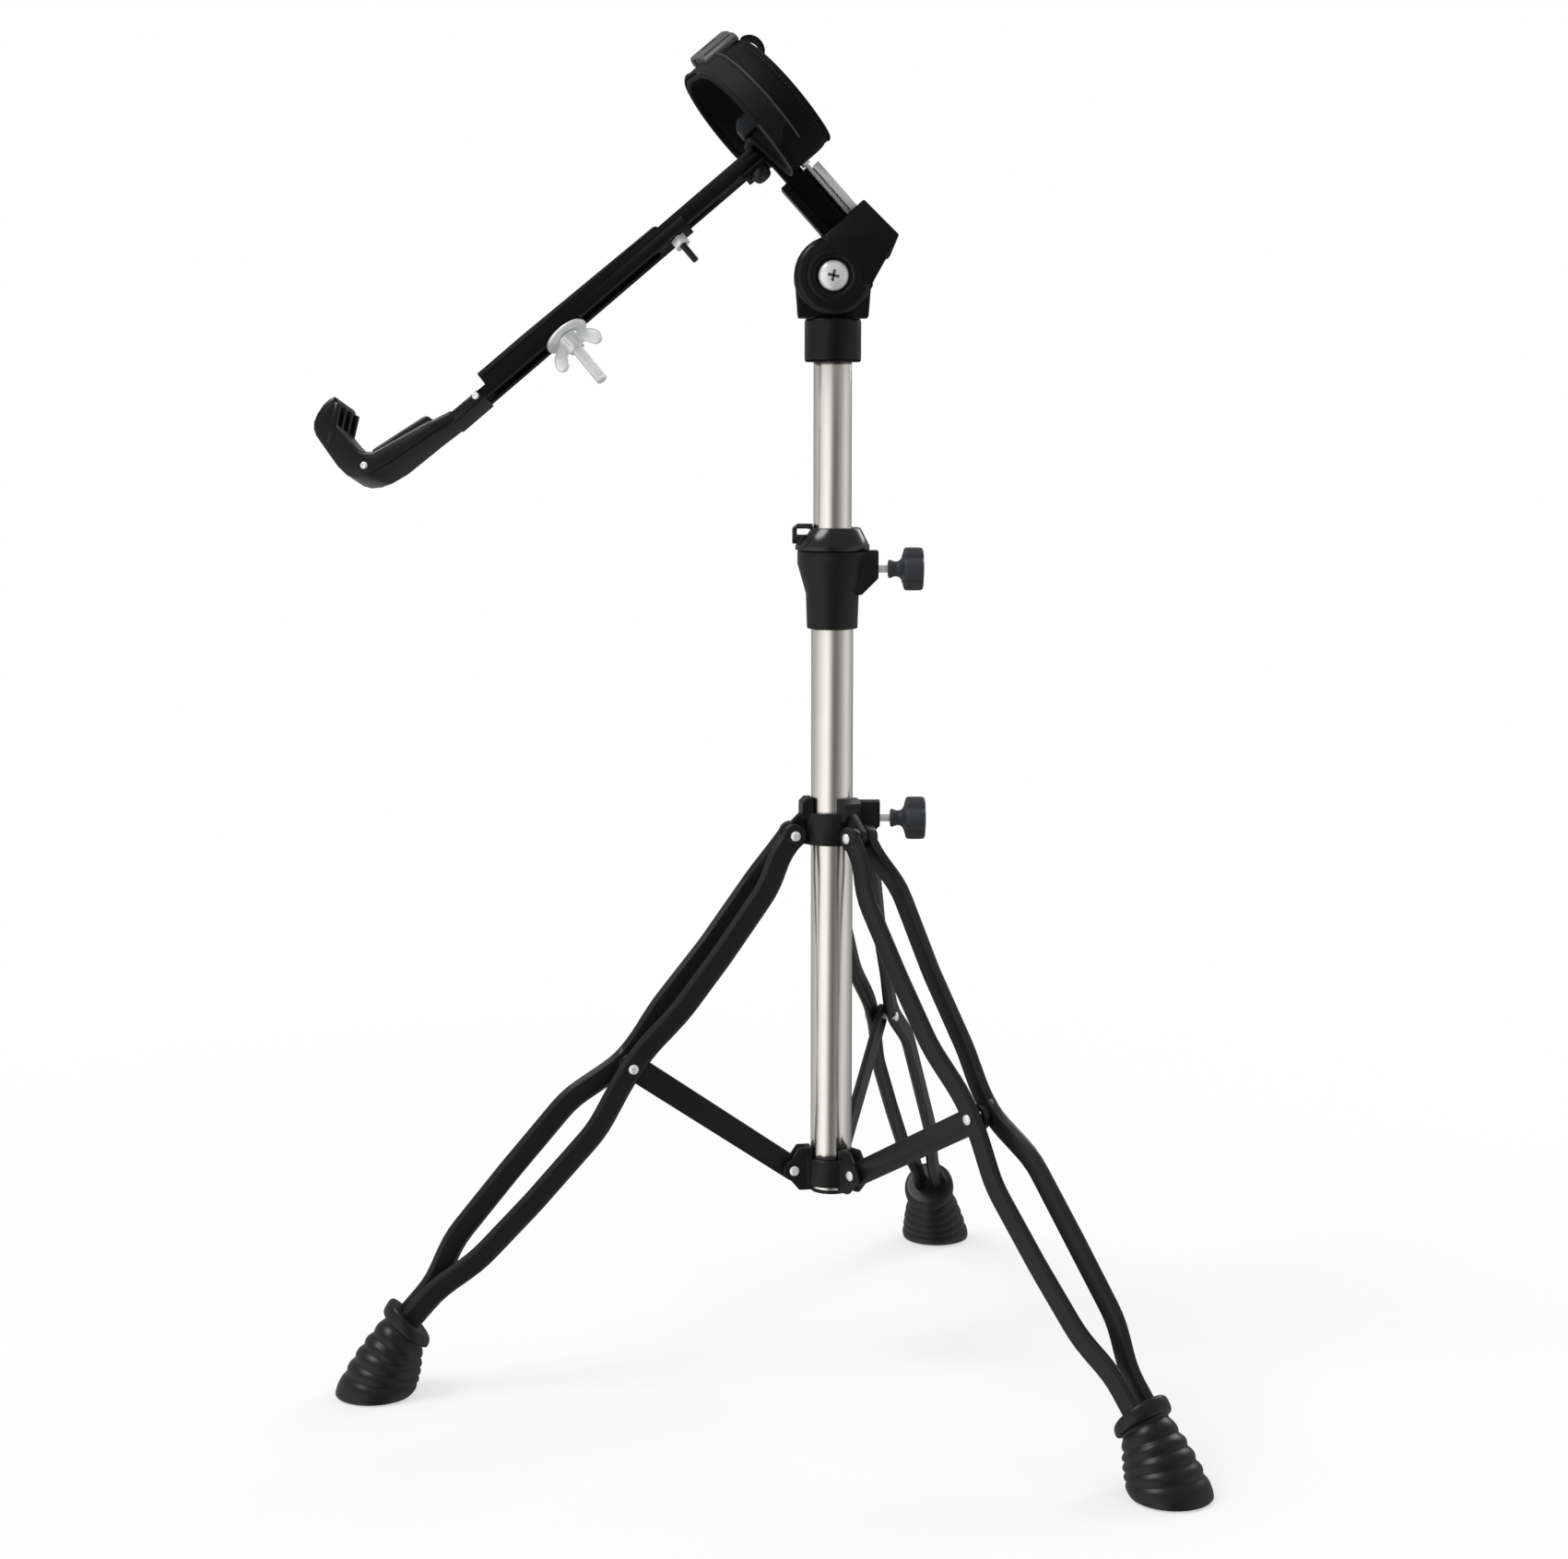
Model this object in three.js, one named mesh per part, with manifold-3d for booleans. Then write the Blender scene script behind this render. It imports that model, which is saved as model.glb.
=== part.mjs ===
// A folding stand for a hand drum: tripod, two-part tube mast, tilter, sliding arm with a hook, strap.
// Millimetres, +Z up. The arm points to -X. Each leg is built in its own frame: X outwards, Y across.

import * as THREE from "three";
import { mergeVertices } from "three/addons/utils/BufferGeometryUtils.js";
import Module from "manifold-3d";

const wasm = await Module();
wasm.setup();

// Angles
const degree = Math.PI / 180;
const quarter = Math.PI / 2;
const leftLegAzimuth = 191 * degree;
const rightLegAzimuth = -49.6 * degree;
const backLegAzimuth = 73.5 * degree;
const neckLean = 42 * degree;
const armSlope = 40 * degree;
const armRoll = 20 * degree;
const strapYaw = 6.5 * degree;
const buckleTilt = 9 * degree;
const forkSweep = 72 * degree;
const lugSweep = 63 * degree;
const tongueDip = 10.8 * degree;

// Driving dimensions
const gap = 0.3;
const overrun = 4;
const lowerTubeRadius = 12.7;
const lowerTubeWall = 0.9;
const upperTubeWall = 1.2;
const upperTubeRadius = lowerTubeRadius - lowerTubeWall - gap;
const lowerTubeBottom = 115;
const cupBottom = 460.6;
const cupHeight = 46.8;
const tubeEndDrop = 18.4;
const heightKnobDrop = 11.1;
const upperTubeBottom = 300;
const sleeveBottom = 619.5;
const sleeveHeight = 26;
const sleeveRoof = 5;
const tiltAxisRise = 23.9;
const collarBottom = 330;
const collarBandHeight = 19.3;
const legPivotRadius = 24.3;
const legPivotRise = 5.7;
const braceRingRise = 2.5;
const ringPivotRise = 9.5;
const strutWidth = 14;
const strutThickness = 6.4;
const strutCorner = 2.2;
const strutCloseOffset = 6.3;
const strutWideOffset = 10.5;
const strutFlareOffset = 15;
const strutLowOffset = 8;
const braceWidth = 15.5;
const braceRingWidth = 14.2;
const braceThickness = 4;
const rivetRadius = 1.9;
const rivetHeadRadius = 2.9;
const rivetHeadHeight = 1.4;
const bracePlay = 2.6;
const clampScrewRadius = 2.25;

// Heights that follow from them
const cupTop = cupBottom + cupHeight;
const lowerTubeTop = cupTop - tubeEndDrop;
const heightKnobAxis = cupTop - heightKnobDrop;
const tiltAxisHeight = sleeveBottom + sleeveHeight + tiltAxisRise;
const legPivotHeight = collarBottom + legPivotRise;
const braceRingBottom = lowerTubeBottom + braceRingRise;
const ringPivotHeight = braceRingBottom + ringPivotRise;

// Numbers of sides of the round shapes
const tubeSides = 32;
const knobSides = 24;
const rivetSides = 12;
const loopSteps = 60;

// Geometry helpers: each takes and gives closed three.js geometry
function plain(geometry) {
  const bare = geometry.index ? geometry.toNonIndexed() : geometry.clone();
  for (const name of Object.keys(bare.attributes)) {
    if (name !== "position") bare.deleteAttribute(name);
  }
  return mergeVertices(bare);
}

function signedVolume(geometry) {
  const at = geometry.getAttribute("position");
  const [a, b, c] = [new THREE.Vector3(), new THREE.Vector3(), new THREE.Vector3()];
  let sum = 0;
  for (let i = 0; i < geometry.index.count; i += 3) {
    a.fromBufferAttribute(at, geometry.index.getX(i));
    b.fromBufferAttribute(at, geometry.index.getX(i + 1));
    c.fromBufferAttribute(at, geometry.index.getX(i + 2));
    sum += a.dot(b.cross(c));
  }
  return sum;
}

function outward(geometry) {
  const closed = plain(geometry);
  if (signedVolume(closed) < 0) {
    const index = closed.index;
    for (let i = 0; i < index.count; i += 3) {
      const second = index.getX(i + 1);
      index.setX(i + 1, index.getX(i + 2));
      index.setX(i + 2, second);
    }
  }
  return closed;
}

function solidOf(geometry) {
  const closed = outward(geometry);
  return new wasm.Manifold(new wasm.Mesh({
    numProp: 3,
    vertProperties: closed.getAttribute("position").array,
    triVerts: new Uint32Array(closed.index.array),
  }));
}

function geometryOf(solid) {
  const mesh = solid.getMesh();
  const geometry = new THREE.BufferGeometry();
  geometry.setAttribute("position", new THREE.BufferAttribute(new Float32Array(mesh.vertProperties), 3));
  geometry.setIndex(new THREE.BufferAttribute(new Uint32Array(mesh.triVerts), 1));
  return geometry;
}

function join(...shapes) {
  return geometryOf(shapes.map(solidOf).reduce((all, next) => all.add(next)));
}

function cut(body, ...tools) {
  return geometryOf(tools.map(solidOf).reduce((rest, tool) => rest.subtract(tool), solidOf(body)));
}

function common(first, second) {
  return geometryOf(solidOf(first).intersect(solidOf(second)));
}

function block(from, to) {
  const size = to.map((value, axis) => value - from[axis]);
  const middle = to.map((value, axis) => (value + from[axis]) / 2);
  return new THREE.BoxGeometry(...size).translate(...middle);
}

// A round bar about Z from one height to another
function rod(radius, bottom, top, sides = rivetSides, topRadius = radius) {
  const bar = new THREE.CylinderGeometry(topRadius, radius, top - bottom, sides);
  return bar.rotateX(quarter).translate(0, 0, (top + bottom) / 2);
}

// A body turned about Z from [radius, height] points that close on themselves or on the axis
function turned(profile, sides = tubeSides) {
  const points = profile.map(([radius, height]) => new THREE.Vector2(radius, height));
  return new THREE.LatheGeometry(points, sides).rotateX(quarter);
}

function ring(inner, outer, bottom, top, sides = tubeSides) {
  return turned([[inner, bottom], [outer, bottom], [outer, top], [inner, top], [inner, bottom]], sides);
}

// An outline of [x, z] points given a width along Y
function slab(outline, from, to) {
  const shape = outline instanceof THREE.Shape
    ? outline
    : new THREE.Shape(outline.map(([x, z]) => new THREE.Vector2(x, z)));
  const plate = new THREE.ExtrudeGeometry(shape, { depth: to - from, bevelEnabled: false });
  return plate.rotateX(quarter).translate(0, to, 0);
}

// An outline of [x, y] points given a height along Z
function sheet(outline, from, to) {
  const shape = new THREE.Shape(outline.map(([x, y]) => new THREE.Vector2(x, y)));
  const plate = new THREE.ExtrudeGeometry(shape, { depth: to - from, bevelEnabled: false });
  return plate.translate(0, 0, from);
}

// A bar across Y with a round section
function pin(radius, from, to, x, z, sides = rivetSides) {
  return rod(radius, from, to, sides).rotateX(-quarter).translate(x, 0, z);
}

// A skin over rings of points: closed on itself, or with a fan over each end
function loft(rings, closed = false) {
  const count = rings[0].length;
  const points = rings.flat();
  const index = [];
  const spans = closed ? rings.length : rings.length - 1;
  for (let r = 0; r < spans; r += 1) {
    const next = (r + 1) % rings.length;
    for (let i = 0; i < count; i += 1) {
      const beside = (i + 1) % count;
      const [a, b, c, d] = [r * count + i, r * count + beside, next * count + i, next * count + beside];
      index.push(a, b, c, b, d, c);
    }
  }
  (closed ? [] : [0, rings.length - 1]).forEach((r, end) => {
    const middle = new THREE.Vector3();
    rings[r].forEach((point) => middle.add(point));
    points.push(middle.divideScalar(count));
    const centre = points.length - 1;
    for (let i = 0; i < count; i += 1) {
      const a = r * count + i;
      const b = r * count + ((i + 1) % count);
      index.push(centre, end ? a : b, end ? b : a);
    }
  });
  const geometry = new THREE.BufferGeometry().setFromPoints(points);
  geometry.setIndex(index);
  return geometry;
}

// The corners of a bar's section: a rectangle with cut corners, across and along its width
function barSection(thickness, width, corner) {
  const [t, w] = [thickness / 2, width / 2];
  return [
    [t, w - corner], [t - corner, w], [corner - t, w], [-t, w - corner],
    [-t, corner - w], [corner - t, -w], [t - corner, -w], [t, corner - w],
  ];
}

// Each inner knot of a route replaced by a short curve
function rounded(knots, reach, steps) {
  const route = [knots[0].clone()];
  for (let i = 1; i + 1 < knots.length; i += 1) {
    const before = knots[i - 1].clone().sub(knots[i]);
    const after = knots[i + 1].clone().sub(knots[i]);
    const start = knots[i].clone().add(before.setLength(Math.min(reach, before.length() / 2)));
    const end = knots[i].clone().add(after.setLength(Math.min(reach, after.length() / 2)));
    const bend = new THREE.QuadraticBezierCurve3(start, knots[i], end);
    route.push(...bend.getPoints(steps));
  }
  route.push(knots[knots.length - 1].clone());
  return route;
}

// A bar that follows a route, its thickness kept along the given direction
function barAlong(route, section, acrossDirection) {
  const rings = route.map((point, i) => {
    const before = route[Math.max(i - 1, 0)];
    const after = route[Math.min(i + 1, route.length - 1)];
    const forward = after.clone().sub(before).normalize();
    const along = forward.clone().multiplyScalar(acrossDirection.dot(forward));
    const across = acrossDirection.clone().sub(along).normalize();
    const up = forward.clone().cross(across);
    return section.map(([a, b]) => point.clone().addScaledVector(across, a).addScaledVector(up, b));
  });
  return loft(rings);
}

// A ribbon of even thickness along [x, z] points, as an outline
function ribbon(path, half) {
  const sides = path.map(([x, z], i) => {
    const [ax, az] = path[Math.max(i - 1, 0)];
    const [bx, bz] = path[Math.min(i + 1, path.length - 1)];
    const length = Math.hypot(bx - ax, bz - az);
    const across = [-((bz - az) / length) * half, ((bx - ax) / length) * half];
    return [[x + across[0], z + across[1]], [x - across[0], z - across[1]]];
  });
  return [...sides.map((pair) => pair[0]), ...sides.map((pair) => pair[1]).reverse()];
}

function circle(radius, sides, from = 0, to = 2 * Math.PI) {
  const step = (to - from) / sides;
  return Array.from({ length: sides + 1 }, (_, i) => [
    radius * Math.cos(from + i * step),
    radius * Math.sin(from + i * step),
  ]);
}

// Materials
function finish(color, roughness, metalness = 0) {
  return new THREE.MeshStandardMaterial({ color, roughness, metalness });
}

const blackSteel = finish(0x17181a, 0.45, 0.3);
const blackPlastic = finish(0x1b1c1e, 0.5);
const satinSteel = finish(0xb4b0a8, 0.3, 1);
const zinc = finish(0xc9cdd0, 0.35, 1);
const rubber = finish(0x1d1d1e, 0.85);
const nylon = finish(0x2b2b2d, 0.6);
const webbing = finish(0x17181a, 0.75);
const bucklePlastic = finish(0x4a4b4d, 0.45);

function piece(name, geometry, material) {
  const mesh = new THREE.Mesh(outward(geometry), material);
  mesh.name = name;
  return mesh;
}

// A group of meshes or groups, turned about Z
function assembly(parts, azimuth = 0) {
  const group = new THREE.Group();
  group.add(...parts);
  group.rotation.z = azimuth;
  return group;
}

// Tubes of the mast
function lowerTube() {
  const inner = lowerTubeRadius - lowerTubeWall;
  return piece("lower_tube", ring(inner, lowerTubeRadius, lowerTubeBottom, lowerTubeTop), satinSteel);
}

function tubePlug() {
  const flange = 2;
  const spigot = 9;
  const spigotRadius = lowerTubeRadius - lowerTubeWall - gap;
  const top = lowerTubeBottom - gap;
  const body = join(
    rod(lowerTubeRadius, top - flange, top, tubeSides),
    rod(spigotRadius, top - flange, top + spigot, tubeSides),
  );
  return piece("tube_plug", body, blackPlastic);
}

function upperTube() {
  const top = sleeveBottom + sleeveHeight - sleeveRoof - gap;
  const inner = upperTubeRadius - upperTubeWall;
  return piece("upper_tube", ring(inner, upperTubeRadius, upperTubeBottom, top), satinSteel);
}

// The brace ring at the foot of the mast, with a fork for each brace
const braceRing = { height: 16.5, radius: 16.6, lugTop: 14, lugBottom: 12.5, forkPlay: 0.8 };
const forkGap = braceThickness + braceRing.forkPlay;
const forkWall = 3.4;
const forkEndRadius = 6.6;

function forkLug(azimuth) {
  const outline = new THREE.Shape();
  outline.moveTo(lowerTubeRadius, ringPivotHeight - braceRing.lugBottom);
  outline.lineTo(legPivotRadius - forkEndRadius / 2, ringPivotHeight - braceRing.lugBottom);
  outline.absarc(legPivotRadius, ringPivotHeight, forkEndRadius, -forkSweep, forkSweep, false);
  outline.lineTo(legPivotRadius - forkEndRadius / 2, ringPivotHeight + braceRing.lugTop);
  outline.lineTo(lowerTubeRadius, ringPivotHeight + braceRing.lugTop);
  outline.closePath();
  const half = forkGap / 2 + forkWall;
  return slab(outline, -half, half).rotateZ(azimuth);
}

function forkSlot(azimuth) {
  const low = ringPivotHeight - braceRing.lugBottom - overrun;
  const high = ringPivotHeight + braceRing.lugTop + overrun;
  const end = legPivotRadius + forkEndRadius + overrun;
  return block([braceRing.radius, -forkGap / 2, low], [end, forkGap / 2, high]).rotateZ(azimuth);
}

function rivetHole(radius, height, span, azimuth) {
  return pin(radius, -span, span, legPivotRadius, height).rotateZ(azimuth);
}

function rivet(name, span, radius, height) {
  const shank = pin(rivetRadius, -span, span, radius, height);
  const heads = [-1, 1].map((side) => {
    const [a, b] = [side * span, side * (span + rivetHeadHeight)];
    return pin(rivetHeadRadius, Math.min(a, b), Math.max(a, b), radius, height);
  });
  return piece(name, join(shank, ...heads), zinc);
}

// Each leg's direction, its brace rivet, where it enters its foot, and the side of its lower strut.
// The right leg sits a little lower in its joints than the other two.
const straight = { pivotReach: 124, pivotHeight: 196.2, entryReach: 258.5, entryHeight: 48 };
const lowered = { pivotReach: 130, pivotHeight: 183.5, entryReach: 257, entryHeight: 43.5 };

function legShape({ pivotReach, pivotHeight, entryReach, entryHeight }) {
  return { bracePivot: [pivotReach, pivotHeight], footEntry: [entryReach, entryHeight] };
}

const legs = [
  { name: "left", azimuth: leftLegAzimuth, lowSide: 1, ...legShape(straight) },
  { name: "right", azimuth: rightLegAzimuth, lowSide: -1, ...legShape(lowered) },
  { name: "back", azimuth: backLegAzimuth, lowSide: 1, ...legShape(straight) },
];

function braceRingParts() {
  const { height, radius } = braceRing;
  const bottom = braceRingBottom;
  const bore = lowerTubeRadius + gap;
  const span = forkGap / 2 + forkWall;
  const body = cut(
    join(ring(bore, radius, bottom, bottom + height), ...legs.map((leg) => forkLug(leg.azimuth))),
    rod(bore, bottom - overrun * 2, bottom + height + overrun * 2, tubeSides),
    ...legs.map((leg) => forkSlot(leg.azimuth)),
    ...legs.map((leg) => rivetHole(rivetRadius + gap, ringPivotHeight, span + overrun, leg.azimuth)),
  );
  const rivets = legs.map((leg) => assembly(
    [rivet(`ring_rivet_${leg.name}`, span + gap, legPivotRadius, ringPivotHeight)],
    leg.azimuth,
  ));
  return [piece("brace_ring", body, blackPlastic), ...rivets];
}

// The sliding collar that carries the legs
const collar = {
  radius: 17.6, lugThickness: 5.4, lugEndRadius: 6.4, humpHeight: 28.3, humpReach: 19.4, humpWidth: 13,
  bossReach: 29.1, bossWidth: 13, bossRise: 8, bossHeight: 17.4, knobRise: 15, shoulder: 3,
};
const humpTop = collarBottom + collar.humpHeight;
const collarBossBottom = collarBottom + collar.bossRise;
const collarBossTop = collarBossBottom + collar.bossHeight;
const collarKnobAxis = collarBottom + collar.knobRise;

function collarLug(azimuth) {
  const outline = new THREE.Shape();
  const lugTop = collarBottom + collarBandHeight;
  outline.moveTo(lowerTubeRadius, collarBottom);
  outline.lineTo(legPivotRadius, legPivotHeight - collar.lugEndRadius);
  outline.absarc(legPivotRadius, legPivotHeight, collar.lugEndRadius, -quarter, lugSweep, false);
  outline.lineTo(collar.humpReach, lugTop);
  outline.lineTo(lowerTubeRadius, lugTop);
  outline.closePath();
  const half = collar.lugThickness / 2;
  return slab(outline, -half, half).rotateZ(azimuth);
}

function collarHump(azimuth) {
  const base = collarBottom + collarBandHeight - overrun;
  const half = collar.humpWidth / 2;
  const outline = [
    [lowerTubeRadius, base], [collar.humpReach, base],
    [collar.humpReach, humpTop - collar.shoulder],
    [collar.humpReach - collar.shoulder, humpTop], [lowerTubeRadius, humpTop],
  ];
  return slab(outline, -half, half).rotateZ(azimuth);
}

function collarParts() {
  const bore = lowerTubeRadius + gap;
  const bandTop = collarBottom + collarBandHeight;
  const half = collar.bossWidth / 2;
  const span = strutCloseOffset + strutThickness / 2;
  const boss = slab([
    [lowerTubeRadius, collarBossBottom], [collar.bossReach - collar.shoulder, collarBossBottom],
    [collar.bossReach, collarBossBottom + collar.shoulder], [collar.bossReach, collarBossTop],
    [lowerTubeRadius, collarBossTop],
  ], -half, half);
  const body = cut(
    join(
      ring(bore, collar.radius, collarBottom, bandTop), boss,
      ...legs.map((leg) => collarLug(leg.azimuth)), ...legs.map((leg) => collarHump(leg.azimuth)),
    ),
    rod(bore, collarBottom - overrun, humpTop + overrun, tubeSides),
    screwHole(collarKnobAxis, collar.bossReach),
    ...legs.map((leg) => rivetHole(rivetRadius + gap, legPivotHeight, span, leg.azimuth)),
  );
  const rivets = legs.map((leg) => assembly(
    [rivet(`collar_rivet_${leg.name}`, span + gap, legPivotRadius, legPivotHeight)],
    leg.azimuth,
  ));
  return [piece("leg_collar", body, blackPlastic), ...rivets];
}

// Clamp screws with a four-lobed knob, pointing to +X
const knob = {
  hubRadius: 5.2, hubLength: 9.2, headRadius: 13, headLength: 12.6, lobeDip: 3.4, edge: 1.2, grip: 8,
};
const collarKnobStandOff = 6;
const cupKnobStandOff = 5.5;

function screwHole(height, reach) {
  return rod(clampScrewRadius + gap, 0, reach + overrun).rotateY(quarter).translate(0, 0, height);
}

function lobedOutline(radius) {
  const sides = knobSides * 2;
  return Array.from({ length: sides }, (_, i) => {
    const angle = (i / sides) * 2 * Math.PI;
    const reach = radius - knob.lobeDip * (1 - Math.abs(Math.cos(2 * angle))) ** 2;
    return [reach * Math.cos(angle), reach * Math.sin(angle)];
  });
}

function knobParts(name, height, tip, hubStart) {
  const headStart = hubStart + knob.hubLength;
  const headEnd = headStart + knob.headLength;
  const head = join(
    rod(knob.hubRadius, hubStart, headStart + knob.edge, knobSides),
    rod(knob.hubRadius, headStart - knob.edge * 2, headStart, knobSides, knob.hubRadius + knob.edge * 2),
    sheet(lobedOutline(knob.headRadius - knob.edge), headStart, headEnd),
    sheet(lobedOutline(knob.headRadius), headStart + knob.edge, headEnd - knob.edge),
  );
  const hole = rod(clampScrewRadius + gap, hubStart - overrun, hubStart + knob.grip + gap);
  const screw = rod(clampScrewRadius, tip, hubStart + knob.grip);
  return [
    piece(name, cut(head, hole).rotateY(quarter).translate(0, 0, height), blackPlastic),
    piece(`${name}_bolt`, screw.rotateY(quarter).translate(0, 0, height), zinc),
  ];
}

// The moulded cup on the lower tube, and its bush
const cup = {
  profile: { foot: 15.3, waist: 16, shoulder: 18.8, rim: 21.1 },
  waistDrop: 25.8, shoulderDrop: 15.8, rimDrop: 7.8,
  bossReach: 27.6, bossWidth: 17, bossDrop: 16.4, bossToe: 17.5, bossToeDrop: 26.4, bushWall: 1.7,
};

function cupParts() {
  const bore = lowerTubeRadius + gap;
  const bushOuter = upperTubeRadius + gap + cup.bushWall;
  const seat = lowerTubeTop + gap;
  const { foot, waist, shoulder, rim } = cup.profile;
  const shell = turned([
    [0, cupBottom], [foot, cupBottom], [waist, cupTop - cup.waistDrop],
    [shoulder, cupTop - cup.shoulderDrop], [rim, cupTop - cup.rimDrop], [rim, cupTop], [0, cupTop],
  ]);
  const half = cup.bossWidth / 2;
  const boss = slab([
    [0, cupTop], [0, cupTop - cup.bossToeDrop], [cup.bossToe, cupTop - cup.bossToeDrop],
    [cup.bossReach, cupTop - cup.bossDrop], [cup.bossReach, cupTop],
  ], -half, half);
  const body = cut(
    join(shell, boss),
    rod(bore, cupBottom - overrun, seat, tubeSides),
    rod(bushOuter + gap, seat - gap, cupTop + overrun, tubeSides),
    screwHole(heightKnobAxis, cup.bossReach),
  );
  const bush = cut(
    ring(upperTubeRadius + gap, bushOuter, seat, cupTop - gap * 2),
    screwHole(heightKnobAxis, cup.bossReach),
  );
  return [piece("height_cup", body, blackPlastic), piece("height_bushing", bush, nylon)];
}

// The stop ring on the upper tube, with a finger loop and a clamp screw
const lock = {
  bottomRadius: 22.4, lipHeight: 2.6, topRadius: 16.9, height: 13.4,
  loopReach: 24.2, loopWidth: 15, loopTop: 15.6, loopBottom: 4,
  slotInner: 13.4, slotOuter: 21.4, slotBottom: 9, slotTop: 13,
  earReach: 24, earWidth: 9, splitWidth: 2.4, screwRadius: 1.8, screwHeadRadius: 3.2,
};

function memoryLockParts() {
  const bottom = cupTop + gap;
  const bore = upperTubeRadius + gap;
  const cone = turned([
    [0, bottom], [lock.bottomRadius, bottom], [lock.bottomRadius, bottom + lock.lipHeight],
    [lock.topRadius, bottom + lock.height], [0, bottom + lock.height],
  ]);
  const half = lock.loopWidth / 2;
  const loopStart = upperTubeRadius + gap;
  const loop = slab([
    [-loopStart, bottom + lock.loopBottom], [-lock.loopReach, bottom + lock.loopBottom],
    [-lock.loopReach, bottom + lock.slotTop], [-lock.slotOuter, bottom + lock.loopTop],
    [-loopStart, bottom + lock.loopTop],
  ], -half, half);
  const ear = block([0, lock.bottomRadius / 2, bottom], [lock.earWidth, lock.earReach, bottom + lock.height]);
  const slot = block(
    [-lock.slotOuter, -half - overrun, bottom + lock.slotBottom],
    [-lock.slotInner, half + overrun, bottom + lock.slotTop],
  );
  const split = block(
    [-lock.splitWidth / 2, 0, bottom - overrun],
    [lock.splitWidth / 2, lock.earReach + overrun, bottom + lock.height + overrun],
  );
  const screwY = lock.earReach - lock.screwHeadRadius;
  const screwZ = bottom + lock.height / 2;
  const screwEnd = lock.earWidth + gap;
  const secondEar = ear.clone().translate(-lock.earWidth, 0, 0);
  const screwBore = join(
    rod(lock.screwRadius + gap, -lock.earWidth - overrun, screwEnd + overrun),
    rod(lock.screwHeadRadius + gap, lock.earWidth, screwEnd + overrun * 2),
  );
  const body = cut(
    join(cone, loop, ear, secondEar),
    rod(bore, bottom - overrun, bottom + lock.loopTop + overrun, tubeSides),
    slot, split, screwBore.rotateY(quarter).translate(0, screwY, screwZ),
  );
  const screw = join(
    rod(lock.screwRadius, -lock.earWidth, screwEnd + lock.screwRadius),
    rod(lock.screwHeadRadius, screwEnd, screwEnd + lock.screwRadius * 2),
  );
  return [
    piece("memory_lock", body, blackPlastic),
    piece("memory_lock_screw", screw.rotateY(quarter).translate(0, screwY, screwZ), zinc),
  ];
}

// Legs. Routes are tables of shares: along a span, rise in strut widths, and which offset holds there
const legPivot = new THREE.Vector3(legPivotRadius, 0, legPivotHeight);
const strutOffsets = {
  close: strutCloseOffset, wide: strutWideOffset, flare: strutFlareOffset, low: strutLowOffset,
};
const lowRoute = {
  upperShares: [
    [0, 0, "close"], [0.08, 0.05, "close"], [0.2, -0.3, "wide"], [0.5, -0.33, "wide"], [0.74, -0.24, "wide"],
    [0.92, 0.03, "close"],
  ],
  lowerShares: [
    [0.04, -0.03, "close"], [0.21, -0.58, "low"], [0.5, -0.57, "low"], [0.74, -0.42, "low"],
    [0.89, 0.08, "close"], [1.1, 0.06, "close"],
  ],
};
const highRoute = {
  upperShares: [
    [0, 0, "close"], [0.07, 0.02, "close"], [0.19, -0.04, "flare"], [0.5, 0.04, "wide"], [0.78, 0.29, "low"],
    [0.92, 0.22, "close"],
  ],
  lowerShares: [
    [0.02, 0.3, "close"], [0.2, 0.97, "low"], [0.5, 0.87, "low"], [0.75, 0.7, "low"],
    [0.89, 0.08, "close"], [1.1, 0.06, "close"],
  ],
};
const bendReach = 9;
const bendSteps = 3;

function inLegPlane([radius, height]) {
  return new THREE.Vector3(radius, 0, height);
}

function spanPoint(from, to, [along, rise, offset], side) {
  const forward = to.clone().sub(from);
  const up = new THREE.Vector3(-forward.z, 0, forward.x).normalize();
  return from.clone().addScaledVector(forward, along)
    .addScaledVector(up, rise * strutWidth)
    .add(new THREE.Vector3(0, side * strutOffsets[offset], 0));
}

function strutRoute(shares, side, leg) {
  const [rivetPoint, entry] = [inLegPlane(leg.bracePivot), inLegPlane(leg.footEntry)];
  const knots = [
    ...shares.upperShares.map((row) => spanPoint(legPivot, rivetPoint, row, side)),
    ...shares.lowerShares.map((row) => spanPoint(rivetPoint, entry, row, side)),
  ];
  return rounded(knots, bendReach, bendSteps);
}

function strut(name, shares, side, leg) {
  const section = barSection(strutThickness, strutWidth, strutCorner);
  const bar = barAlong(strutRoute(shares, side, leg), section, new THREE.Vector3(0, 1, 0));
  const [inner, outer] = [strutCloseOffset - strutThickness / 2, strutCloseOffset + strutThickness / 2];
  const [from, to] = side > 0 ? [inner, outer] : [-outer, -inner];
  const end = pin(strutWidth / 2, from, to, legPivotRadius, legPivotHeight, knobSides);
  const bore = rivetRadius + gap;
  const span = outer + overrun;
  const body = cut(
    join(bar, end),
    pin(bore, -span, span, legPivotRadius, legPivotHeight),
    pin(bore, -span, span, ...leg.bracePivot),
  );
  return piece(name, body, blackSteel);
}

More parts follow.
